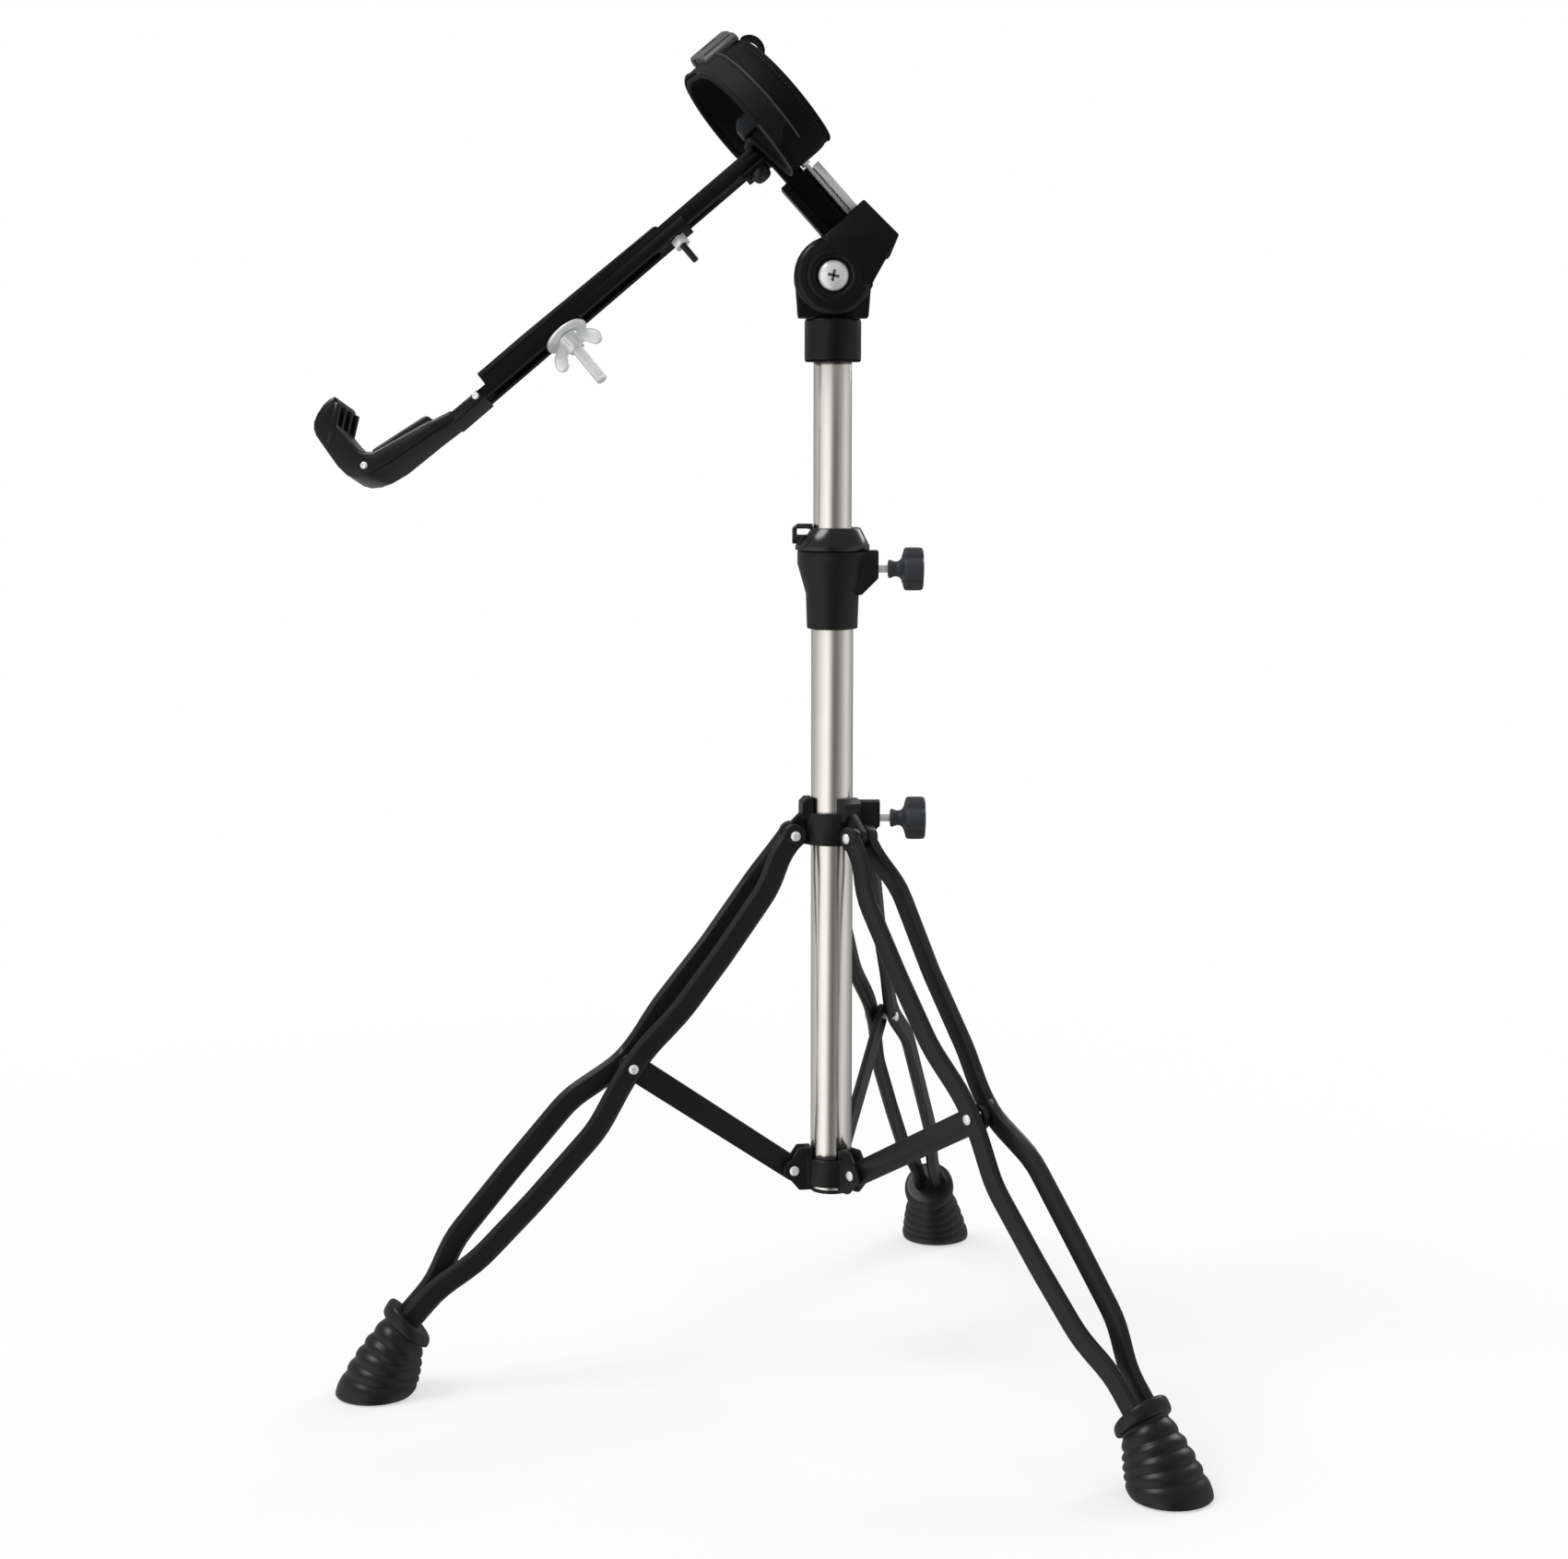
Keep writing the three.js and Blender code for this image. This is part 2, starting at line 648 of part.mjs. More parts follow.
// A flat link in the leg's plane from the ring to the leg, with round ends
function brace(name, leg) {
  const [radius, height] = leg.bracePivot;
  const length = Math.hypot(radius - legPivotRadius, height - ringPivotHeight);
  const rise = Math.atan2(height - ringPivotHeight, radius - legPivotRadius);
  const outline = new THREE.Shape();
  outline.absarc(0, 0, braceRingWidth / 2, quarter, 3 * quarter, false);
  outline.absarc(length, 0, braceWidth / 2, -quarter, quarter, false);
  outline.closePath();
  const bar = cut(
    slab(outline, -braceThickness / 2, braceThickness / 2),
    pin(rivetRadius + gap, -braceThickness, braceThickness, 0, 0),
    pin(rivetRadius + bracePlay, -braceThickness, braceThickness, length, 0, knobSides),
  );
  return piece(name, bar.rotateY(-rise).translate(legPivotRadius, 0, ringPivotHeight), blackSteel);
}

// The rubber boot: rings from its round top to its flat sole, [along, radius] in shares
const boot = {
  topAhead: 1.7, soleRadius: 23.5, soleReach: 283.5, socketDepth: 24, lean: 48 * degree, sides: 20,
};
const bootRingShares = [
  [0, 0.6], [0.03, 0.66], [0.15, 0.66], [0.18, 0.6], [0.24, 0.64], [0.32, 0.69], [0.35, 0.75], [0.42, 0.77],
  [0.45, 0.73], [0.5, 0.82], [0.57, 0.84], [0.6, 0.79], [0.65, 0.89], [0.72, 0.91], [0.75, 0.86], [0.8, 0.96],
  [0.92, 1], [1, 0.95],
];

function foot(name, leg) {
  const [rivetPoint, entry] = [inLegPlane(leg.bracePivot), inLegPlane(leg.footEntry)];
  const down = entry.clone().sub(rivetPoint);
  const top = entry.clone().addScaledVector(down.clone().normalize(), boot.topAhead);
  const sole = new THREE.Vector3(boot.soleReach, 0, 0);
  const rings = bootRingShares.map(([along, share]) => {
    const middle = top.clone().lerp(sole, along);
    const lean = boot.lean * (1 - along);
    return circle(boot.soleRadius * share, boot.sides).slice(1).map(([across, depth]) => (
      middle.clone().add(new THREE.Vector3(across * Math.cos(lean), depth, across * Math.sin(lean)))
    ));
  });
  const rise = Math.atan2(down.z, down.x);
  const seat = spanPoint(rivetPoint, entry, [1, lowRoute.lowerShares.at(-1)[1], "close"], 0);
  const halfWidth = strutCloseOffset + strutThickness / 2 + gap;
  const halfHeight = strutWidth / 2 + gap;
  const socket = block([-overrun * 3, -halfWidth, -halfHeight], [boot.socketDepth, halfWidth, halfHeight])
    .rotateY(-rise).translate(seat.x, 0, seat.z);
  return piece(name, cut(loft(rings), socket), rubber);
}

function legParts(leg) {
  const { name, azimuth, lowSide } = leg;
  const span = strutCloseOffset + strutThickness / 2 + gap;
  return assembly([
    strut(`strut_inner_${name}`, lowRoute, lowSide, leg),
    strut(`strut_outer_${name}`, highRoute, -lowSide, leg),
    rivet(`leg_rivet_${name}`, span, ...leg.bracePivot),
    brace(`brace_${name}`, leg),
    foot(`foot_${name}`, leg),
  ], azimuth);
}

// Tilter: the base casting on the mast and the head casting that turns on it
const knuckle = {
  baseHalf: 11, baseRadius: 22.9, footHalf: 21, cheekInner: 11.3, cheekOuter: 19.3, cheekRadius: 23.3,
  pocketRadius: 23.4, boltRadius: 4, screwHeadRadius: 8.8, screwHeadHeight: 3.6, recessRadius: 10.6,
  recessDepth: 2.6, nutRadius: 7.6, nutHeight: 6.2, bevel: 3, crownShare: 0.7,
};
const sleeveRadius = 16.9;
const sleeveEdge = 1.6;

function tilterBase() {
  const bottom = sleeveBottom;
  const top = sleeveBottom + sleeveHeight;
  const sleeve = turned([
    [0, bottom], [sleeveRadius - sleeveEdge / 2, bottom], [sleeveRadius, bottom + sleeveEdge / 2],
    [sleeveRadius, top - sleeveEdge], [sleeveRadius - sleeveEdge, top], [0, top],
  ]);
  const drop = tiltAxisHeight - top;
  const outline = new THREE.Shape();
  outline.moveTo(-knuckle.footHalf, -drop - gap);
  outline.lineTo(knuckle.footHalf, -drop - gap);
  outline.absarc(0, 0, knuckle.baseRadius, -tongueDip, 2 * quarter + tongueDip, false);
  outline.closePath();
  const tongue = slab(outline, -knuckle.baseHalf, knuckle.baseHalf).translate(0, 0, tiltAxisHeight);
  const body = cut(
    join(sleeve, tongue),
    rod(upperTubeRadius + gap, bottom - overrun, top - sleeveRoof, tubeSides),
    pin(knuckle.boltRadius + gap, -knuckle.cheekOuter, knuckle.cheekOuter, 0, tiltAxisHeight, knobSides),
  );
  return piece("tilter_base", body, blackSteel);
}

// The head is drawn in the neck's frame: X across the neck, Z along it, the tilt axis at the origin
const neck = {
  left: 11, right: 42.6, seat: 20.9, shoulderX: 44.4, shoulderZ: -8.4, heelX: 13, heelZ: -19.1,
  innerToeX: 31.5, innerToeZ: -12.9, innerHeelX: 24.1, innerHeelZ: -0.9,
  channelTop: 58.5, channelHalf: 10.5, leftWall: 5, backWall: 3.5, plateX: 33.7, plateThickness: 4.2,
  plateTop: 55.5, barLeft: 16, barRight: 28.2, barHalf: 6, barTop: 90,
  screwX: 31.9, screwRadius: 1.5, screwTop: 61, screwNutRadius: 3.2, screwNutHeight: 3,
};

function neckPlaced(parts) {
  const group = new THREE.Group();
  group.add(...parts);
  group.rotation.y = -neckLean;
  return group;
}

function tilterHead() {
  const casting = [
    [neck.left, neck.seat], [neck.heelX, neck.heelZ],
    [neck.shoulderX, neck.shoulderZ], [neck.right, neck.seat],
  ];
  const middle = [
    [neck.left, neck.seat], [0, knuckle.baseRadius / 2], [neck.innerHeelX, neck.innerHeelZ],
    [neck.innerToeX, neck.innerToeZ], [neck.shoulderX, neck.shoulderZ], [neck.right, neck.seat],
  ];
  const { cheekInner, cheekOuter, cheekRadius, bevel } = knuckle;
  const cheeks = [-1, 1].map((side) => {
    const [a, b] = [side * cheekInner, side * cheekOuter];
    const [low, high] = [Math.min(a, b), Math.max(a, b)];
    const rim = side * (cheekOuter - bevel);
    const disc = pin(cheekRadius, Math.min(a, rim), Math.max(a, rim), 0, 0, tubeSides);
    const face = rod(cheekRadius, cheekOuter - bevel, cheekOuter, tubeSides, cheekRadius - bevel)
      .rotateX(-quarter * side);
    return join(slab(casting, low, high), disc, face);
  });
  const web = slab(middle, -cheekInner - gap, cheekInner + gap);
  const pocket = pin(knuckle.pocketRadius, -cheekInner, cheekInner, 0, 0, tubeSides);
  const outerFace = cheekOuter + overrun;
  const body = cut(
    join(...cheeks, cut(web, pocket)),
    pin(knuckle.boltRadius + gap, -outerFace, outerFace, 0, 0, knobSides),
    pin(knuckle.recessRadius, -outerFace, knuckle.recessDepth - cheekOuter, 0, 0, tubeSides),
    pin(knuckle.nutRadius + gap, cheekOuter - knuckle.nutHeight, outerFace, 0, 0, tubeSides),
  );
  return piece("tilter_head", body, blackSteel);
}

function tiltBoltParts() {
  const seat = knuckle.recessDepth - knuckle.cheekOuter - gap;
  const end = knuckle.cheekOuter - gap;
  const { screwHeadRadius, screwHeadHeight, crownShare } = knuckle;
  const dome = turned([
    [0, 0], [screwHeadRadius, 0], [screwHeadRadius, screwHeadHeight / 2],
    [screwHeadRadius * crownShare, screwHeadHeight], [0, screwHeadHeight],
  ], knobSides).rotateX(quarter).translate(0, seat, 0);
  const bolt = join(pin(knuckle.boltRadius, seat - gap, end, 0, 0, knobSides), dome);
  const nut = cut(
    pin(knuckle.nutRadius, end - knuckle.nutHeight + gap * 2, end, 0, 0, 6),
    pin(knuckle.boltRadius + gap, 0, end + overrun, 0, 0, knobSides),
  );
  return [piece("tilt_bolt", bolt, zinc), piece("tilt_nut", nut, zinc)];
}

// Neck: an open channel with a zinc plate, the bar inside it and its screw
function neckChannel() {
  const bottom = neck.seat + gap;
  const half = neck.channelHalf;
  const body = join(
    block([neck.left, -half, bottom], [neck.left + neck.leftWall, half, neck.channelTop]),
    block([neck.left, half - neck.backWall, bottom], [neck.plateX - gap, half, neck.channelTop]),
  );
  return piece("neck_channel", body, blackSteel);
}

function neckPlate() {
  const half = neck.channelHalf;
  const right = neck.plateX + neck.plateThickness;
  const plate = block([neck.plateX, -half, neck.seat + gap], [right, half, neck.plateTop]);
  return piece("neck_plate", plate, zinc);
}

function neckScrew() {
  const nutTop = neck.channelTop + neck.screwNutHeight;
  const shank = rod(neck.screwRadius, neck.seat + gap, neck.screwTop + neck.screwNutHeight);
  const nut = rod(neck.screwNutRadius, neck.channelTop + gap, nutTop, 6);
  return piece("neck_screw", join(shank, nut).translate(neck.screwX, 0, 0), zinc);
}

// Arm: a channel open to the drum's side, seen rolled about its own length
const armSeat = { x: -60.3, z: 51.3 };
const arm = {
  bottomEnd: -186, topEnd: 52, width: 12.4, height: 9.4, wall: 1.8, seatStart: 29, seatHeight: 5,
  padTop: -48, padWidth: 12.4, padThin: 2, padThick: 4, padFull: -150,
  slotTop: -9, slotBottom: -118, boltX: -130.5, boltRadius: 3.5, boltEnd: -39.5, boltHeadRadius: 4,
  boltHeadHeight: 3, washerRadius: 14, washerThickness: 1.8, guideX: -43, guideRadius: 2,
  guideEnd: -20, guideNutRadius: 5.2, guideNutHeight: 5.5, guideHeadRadius: 4, guideHeadHeight: 2.6,
};
const hook = {
  wall: 1.5, flangeTop: 4.2, topEnd: -33, flangeEnd: -204, slotTop: -56, slotBottom: -203, slotHalf: 3.9,
};
const hookWidth = arm.width + 2 * gap + 2 * hook.wall;
const hookFloor = -gap - hook.wall;

function armMatrix() {
  const slope = new THREE.Matrix4().makeRotationY(-armSlope);
  const roll = new THREE.Matrix4().makeRotationX(-armRoll);
  return new THREE.Matrix4().makeTranslation(armSeat.x, 0, armSeat.z).multiply(slope).multiply(roll);
}

function armPlaced(parts) {
  const group = new THREE.Group();
  group.add(...parts);
  group.applyMatrix4(armMatrix());
  return group;
}

function slotCut(from, to, half, bottom, top) {
  return join(
    block([Math.min(from, to) + half, -half, bottom], [Math.max(from, to) - half, half, top]),
    rod(half, bottom, top).translate(Math.min(from, to) + half, 0, 0),
    rod(half, bottom, top).translate(Math.max(from, to) - half, 0, 0),
  );
}

function armChannel() {
  const half = arm.width / 2;
  const inner = half - arm.wall;
  const body = cut(
    block([arm.bottomEnd, -half, 0], [arm.topEnd, half, arm.height]),
    block([arm.bottomEnd - overrun, -inner, arm.wall], [arm.topEnd + overrun, inner, arm.height + overrun]),
    block(
      [arm.seatStart, -half - overrun, arm.seatHeight],
      [arm.topEnd + overrun, half + overrun, arm.height + overrun],
    ),
    rod(arm.boltRadius + gap, -overrun, arm.height).translate(arm.boltX, 0, 0),
    rod(junction.radius + gap, -overrun, arm.height).translate(junction.x, 0, 0),
    slotCut(arm.slotBottom, arm.slotTop, arm.guideRadius + gap, -overrun, arm.height),
  );
  return piece("arm_channel", body, blackSteel);
}

function armPad() {
  const base = arm.height + gap;
  const half = arm.padWidth / 2;
  const outline = [
    [arm.padTop, base], [arm.padTop, base + arm.padThin / 2], [arm.padTop - arm.padThin, base + arm.padThin],
    [arm.padFull, base + arm.padThick], [arm.bottomEnd, base + arm.padThick], [arm.bottomEnd, base],
  ];
  return piece("arm_pad", slab(outline, -half, half), rubber);
}

const junction = {
  x: 19, radius: 3, headRadius: 6.6, headHeight: 4.4, nutRadius: 5, nutHeight: 4, plateThickness: 3.4,
  plateLeft: 10, plateRight: 46, crownShare: 0.75,
};

function neckBar() {
  const toNeck = new THREE.Matrix4().makeRotationY(neckLean).multiply(armMatrix());
  const half = arm.width / 2;
  const plate = block(
    [junction.plateLeft, -half, -gap - junction.plateThickness], [junction.plateRight, half, -gap],
  );
  plate.applyMatrix4(toNeck);
  const above = block(
    [arm.bottomEnd, -arm.washerRadius * 2, -gap - junction.plateThickness / 2],
    [arm.topEnd, arm.washerRadius * 2, arm.washerRadius * 2],
  ).applyMatrix4(toNeck);
  const shank = cut(
    block([neck.barLeft, -neck.barHalf, neck.seat + gap], [neck.barRight, neck.barHalf, neck.barTop]),
    above,
  );
  const hole = rod(junction.radius + gap, -overrun * 2, overrun).translate(junction.x, 0, 0);
  return piece("neck_bar", cut(join(shank, plate), hole.applyMatrix4(toNeck)), blackSteel);
}

function junctionBoltParts() {
  const under = -gap * 2 - junction.plateThickness;
  const nutBottom = arm.wall + gap;
  const nutTop = nutBottom + junction.nutHeight;
  const crown = junction.headRadius * junction.crownShare;
  const head = rod(crown, under - junction.headHeight, under, knobSides, junction.headRadius);
  const bolt = join(head, rod(junction.radius, under - gap, nutTop + gap));
  const nut = cut(
    rod(arm.width / 2 - arm.wall - gap, nutBottom, nutTop, 6),
    rod(junction.radius + gap, 0, nutTop + overrun),
  );
  return [
    piece("junction_bolt", bolt.translate(junction.x, 0, 0), blackSteel),
    piece("junction_nut", nut.translate(junction.x, 0, 0), zinc),
  ];
}

function wingBoltParts() {
  const headBottom = arm.wall + gap;
  const washerTop = hookFloor - gap;
  const washerBottom = washerTop - arm.washerThickness;
  const bolt = join(
    rod(arm.boltHeadRadius, headBottom, headBottom + arm.boltHeadHeight, knobSides),
    rod(arm.boltRadius, arm.boltEnd, headBottom + gap, knobSides),
  );
  const washer = ring(arm.boltRadius + gap, arm.washerRadius, washerBottom, washerTop);
  return [
    piece("wing_bolt", bolt.translate(arm.boltX, 0, 0), zinc),
    piece("wing_washer", washer.translate(arm.boltX, 0, 0), zinc),
  ];
}

const wing = {
  hubRadius: 6.6, hubTipRadius: 5, hubHeight: 10, reach: 10.5, drop: 9.5, lobeRadius: 6.8, thickness: 3,
};

function wingNut() {
  const top = hookFloor - gap * 2 - arm.washerThickness;
  const hub = rod(wing.hubTipRadius, top - wing.hubHeight, top, knobSides, wing.hubRadius);
  const half = wing.thickness / 2;
  const lobes = [-1, 1].map((side) => join(
    pin(wing.lobeRadius, -half, half, side * wing.reach, top - wing.drop, knobSides),
    slab([
      [0, top - gap], [side * wing.reach, top - wing.drop + wing.lobeRadius],
      [side * wing.reach, top - wing.drop - wing.lobeRadius], [0, top - wing.hubHeight],
    ], -half, half),
  ));
  const body = cut(
    join(hub, ...lobes),
    rod(arm.boltRadius + gap, top - wing.hubHeight - wing.lobeRadius * 2, top + overrun, knobSides),
  );
  return piece("wing_nut", body.translate(arm.boltX, 0, 0), zinc);
}

// The sliding part: a channel round the arm, whose tongue runs inside the rubber hook
const rubberHook = { start: -211, reach: 74, bottom: -2.6, height: 62.2 };
const tongue = { half: 0.8, width: 11, start: -200, bend: -208 };
const tongueShares = [[0.081, 0.071], [0.689, 0.17], [0.824, 0.235], [0.885, 0.363], [0.892, 0.749]];

// A point of the hook from its shares of the reach and of the height
function hookPoint([along, up]) {
  return [rubberHook.start - along * rubberHook.reach, rubberHook.bottom + up * rubberHook.height];
}

const tonguePath = [
  [tongue.start, hookFloor + tongue.half], [tongue.bend, hookFloor + tongue.half],
  ...tongueShares.map(hookPoint),
];

function hookBar() {
  const half = hookWidth / 2;
  const inner = half - hook.wall;
  const channel = cut(
    block([hook.flangeEnd, -half, hookFloor], [hook.topEnd, half, hook.flangeTop]),
    block([hook.flangeEnd - overrun, -inner, -gap], [hook.topEnd + overrun, inner, hook.flangeTop + overrun]),
  );
  const strip = slab(ribbon(tonguePath, tongue.half), -tongue.width / 2, tongue.width / 2);
  const body = cut(
    join(channel, strip),
    slotCut(hook.slotBottom, hook.slotTop, hook.slotHalf, hookFloor - overrun, hook.flangeTop),
    rod(arm.guideRadius + gap, hookFloor - overrun, 0).translate(arm.guideX, 0, 0),
  );
  return piece("hook_bar", body, blackSteel);
}

// The rubber hook's side outline, from the arm's end round the hook to the lip and back
const hookShares = [
  [0, 0], [0.257, 0.035], [0.635, 0.071], [0.784, 0.109], [0.919, 0.18], [0.986, 0.283], [1, 0.412],
  [0.986, 0.797], [0.946, 0.902], [0.865, 0.961], [0.723, 1], [0.662, 0.977], [0.668, 0.923], [0.811, 0.781],
  [0.795, 0.524], [0.776, 0.371], [0.73, 0.315], [0.184, 0.256], [0.168, 0.167], [0, 0.1],
];
const [lipHeadShares, lipFootShares] = [[0.668, 0.923], [0.811, 0.781]];
const hookPlan = { startHalf: 8.6, stepShare: 0.176, stepHalf: 10.5, fullShare: 0.743, half: 16 };
const rib = { count: 4, width: 3, height: 1.8 };

function hookRubber() {
  const { start, reach, bottom, height } = rubberHook;
  const side = slab(hookShares.map(hookPoint), -hookPlan.half, hookPlan.half);
  const upper = [
    [start + overrun, hookPlan.startHalf], [start - hookPlan.stepShare * reach, hookPlan.stepHalf],
    [start - hookPlan.fullShare * reach, hookPlan.half], [start - reach - overrun, hookPlan.half],
  ];
  const mirrored = upper.map(([x, y]) => [x, -y]).reverse();
  const plan = sheet([...upper, ...mirrored], bottom - overrun, bottom + height + overrun);
  const [lipFoot, lipHead] = [lipFootShares, lipHeadShares].map(hookPoint);
  const slope = Math.atan2(lipHead[1] - lipFoot[1], lipHead[0] - lipFoot[0]);
  const length = Math.hypot(lipHead[1] - lipFoot[1], lipHead[0] - lipFoot[0]);
  const pitch = (2 * hookPlan.half - rib.width) / (rib.count - 1);
  const ribs = Array.from({ length: rib.count }, (_, i) => {
    const near = -hookPlan.half + i * pitch;
    return block([0, near, -rib.height], [length, near + rib.width, rib.height])
      .rotateY(-slope).translate(lipFoot[0], 0, lipFoot[1]);
  });
  const hollowHalf = tongue.width / 2 + gap;
  const room = tongue.half + gap;
  const hollow = slab(ribbon(tonguePath, room), -hollowHalf, hollowHalf);
  const [tipX, tipZ] = tonguePath.at(-1);
  const tipRoom = block([tipX - room, -hollowHalf, tipZ - gap], [tipX + room, hollowHalf, tipZ + gap]);
  return piece("hook_rubber", cut(join(common(side, plan), ...ribs), hollow, tipRoom), rubber);
}

function guideBoltParts() {
  const headBottom = arm.wall + gap;
  const nutTop = hookFloor - gap;
  const bolt = join(
    rod(arm.guideHeadRadius, headBottom, headBottom + arm.guideHeadHeight, knobSides),
    rod(arm.guideRadius, arm.guideEnd, headBottom + gap),
  );
  const nut = cut(
    rod(arm.guideNutRadius, nutTop - arm.guideNutHeight, nutTop, 6),
    rod(arm.guideRadius + gap, nutTop - arm.guideNutHeight - overrun, nutTop + overrun),
  );
  return [
    piece("guide_bolt", bolt.translate(arm.guideX, 0, 0), blackSteel),
    piece("guide_nut", nut.translate(arm.guideX, 0, 0), zinc),
  ];
}

// Strap: a padded loop on a saddle at the arm's top end, drawn in the arm's slope without its roll
const strap = {
  x: 39.5, width: 32, halfSpan: 66, top: 65, bottom: 11.6, thickness: 4.6,
  webWidth: 20, webLeft: -15.4, webThickness: 2, webClearance: 0.45,
  buckleWidth: 28, buckleLength: 38, buckleHeight: 10.5, buckleX: -1, buckleY: -5, buckleRise: 2.5,
  saddleLeft: 30, saddleRight: 58, saddleHalf: 9, saddleBottom: 2.4,
  padLeft: 24, padRight: 60, padHalf: 13, padHeight: 11, padEdge: 3.7,
  screwRadius: 2, screwHeadRadius: 4.4, screwHeadHeight: 3,
};
// The loop's outer outline from its top, as shares of the half span and of the height over its seat.
// It sags further on its near side.
const loop = {
  farShares: [
    [0.34, 1.05], [0.66, 1], [0.9, 0.76], [1, 0.4], [0.95, 0.05], [0.8, -0.16], [0.6, -0.18], [0.42, -0.1],
    [0.26, -0.01], [0.13, 0],
  ],
  nearShares: [
    [0.13, 0], [0.22, -0.03], [0.34, -0.17], [0.48, -0.4], [0.65, -0.57], [0.83, -0.53], [0.96, -0.28],
    [1, 0.08], [0.9, 0.47], [0.66, 0.78], [0.34, 0.93],
  ],
};

function loopCurve(offset) {
  const height = strap.top - strap.bottom;
  const knot = ([y, z]) => new THREE.Vector3(y * strap.halfSpan, strap.bottom + z * height, 0);
  const knots = [
    knot([0, 1]), ...loop.farShares.map(knot),
    knot([0, 0]), ...loop.nearShares.map(([y, z]) => knot([-y, z])),
  ];
  const curve = new THREE.CatmullRomCurve3(knots, true, "centripetal");
  const steps = Array.from({ length: loopSteps }, (_, i) => i / loopSteps);
  return steps.map((share) => {
    const point = curve.getPointAt(share);
    const forward = curve.getTangentAt(share);
    return [point.x - forward.y * offset, point.y + forward.x * offset];
  });
}

// Where the narrow webbing starts and ends on the loop, in shares of its length from the top
const webStartShare = 0.72;
const webEndShare = 0.28;

// A strip of material between two [y, z] lines of the loop, with a width along X
function strip(outer, inner, from, to, closed) {
  const rings = outer.map(([y, z], i) => {
    const [innerY, innerZ] = inner[i];
    return [[from, y, z], [to, y, z], [to, innerY, innerZ], [from, innerY, innerZ]]
      .map((corner) => new THREE.Vector3(...corner));
  });
  return loft(rings, closed);
}

function strapBandParts() {
  const half = strap.width / 2;
  const band = cut(
    strip(loopCurve(0), loopCurve(-strap.thickness), -half, half, true),
    rod(strap.screwRadius + gap, 0, strap.bottom + strap.thickness + overrun),
  );
  const start = Math.round(loopSteps * webStartShare);
  const end = Math.round(loopSteps * webEndShare);
  const wrap = (points) => [...points.slice(start), ...points.slice(0, end)];
  const under = wrap(loopCurve(strap.webClearance));
  const over = wrap(loopCurve(strap.webClearance + strap.webThickness));
  const web = strip(over, under, strap.webLeft, strap.webLeft + strap.webWidth, false);
  return [piece("strap_band", band, webbing), piece("strap_webbing", web, webbing)];
}

function buckle() {
  const half = strap.buckleLength / 2;
  const side = strap.buckleWidth / 2;
  const top = strap.buckleHeight;
  const edge = top / 2;
  const outline = [
    [-half, gap], [-half, edge], [edge - half, top], [half - edge, top], [half, edge], [half, gap], [0, 0],
  ];
  const body = slab(outline, -side, side).rotateZ(quarter).rotateX(buckleTilt);
  const base = strap.top + strap.buckleRise;
  return piece("strap_buckle", body.translate(strap.buckleX, strap.buckleY, base), bucklePlastic);
}

// A small loop of webbing sewn to the band's upper edge
const keeper = { y: -22, width: 8, reach: 7, halfHeight: 9, z: 55, thickness: 1.8 };

function strapKeeper() {
  const outer = circle(1, knobSides, -quarter, quarter)
    .map(([c, s]) => [c * keeper.reach, s * keeper.halfHeight]);
  const room = circle(1, knobSides, quarter, -quarter)
    .map(([c, s]) => [c * (keeper.reach - keeper.thickness), s * (keeper.halfHeight - keeper.thickness)]);
  const loop = slab([...outer, ...room], keeper.y - keeper.width / 2, keeper.y + keeper.width / 2);
  return piece("strap_keeper", loop.translate(strap.width / 2 + gap, 0, keeper.z), webbing);
}

function strapSaddle() {
  const toSlope = new THREE.Matrix4().makeRotationX(-armRoll);
  const half = arm.width / 2 + gap;
  const inner = arm.width / 2 - arm.wall - gap;
  const roomTop = arm.seatHeight + gap;
  const room = join(
    block([strap.saddleLeft - overrun, -half, -overrun], [strap.saddleRight + overrun, -inner, roomTop]),
    block([strap.saddleLeft - overrun, inner, -overrun], [strap.saddleRight + overrun, half, roomTop]),
    block([strap.saddleLeft - overrun, -half, -overrun], [strap.saddleRight + overrun, half, arm.wall + gap]),
  ).applyMatrix4(toSlope);
  const top = strap.bottom - gap * 2;
  const { saddleLeft, saddleRight, saddleHalf, saddleBottom } = strap;
  const body = cut(
    block([saddleLeft, -saddleHalf, saddleBottom], [saddleRight, saddleHalf, top]),
    room,
    rod(strap.screwRadius + gap, arm.height / 2, top + overrun).translate(strap.x, 0, 0),
  );
  return piece("strap_saddle", body, blackPlastic);
}

function waistPad() {
  const base = strap.bottom + strap.thickness + gap;
  const top = base + strap.padHeight;
  const edge = strap.padEdge;
  const half = strap.padHalf;
  const outline = [
    [strap.padLeft, base], [strap.padLeft, top - edge], [strap.padLeft + edge, top],
    [strap.padRight - edge, top], [strap.padRight, top - edge], [strap.padRight, base],
  ];
  const body = cut(
    slab(outline, -half, half),
    rod(strap.screwRadius + gap, base - overrun, top + overrun).translate(strap.x, 0, 0),
    rod(strap.screwHeadRadius + gap, base + edge, top + overrun, knobSides).translate(strap.x, 0, 0),
  );
  return piece("waist_pad", body, rubber);
}

function strapScrew() {
  const seat = strap.bottom + strap.thickness + gap * 2 + strap.padEdge;
  const tip = arm.height / 2 + gap;
  const body = join(
    rod(strap.screwRadius, tip, seat + gap),
    rod(strap.screwHeadRadius, seat, seat + strap.screwHeadHeight, knobSides, strap.screwRadius),
  );
  return piece("strap_screw", body.translate(strap.x, 0, 0), zinc);
}

function strapPlaced(parts) {
  const turnedPart = new THREE.Group();
  turnedPart.add(...parts);
  turnedPart.rotation.z = strapYaw;
  turnedPart.position.x = strap.x;
  return turnedPart;
}

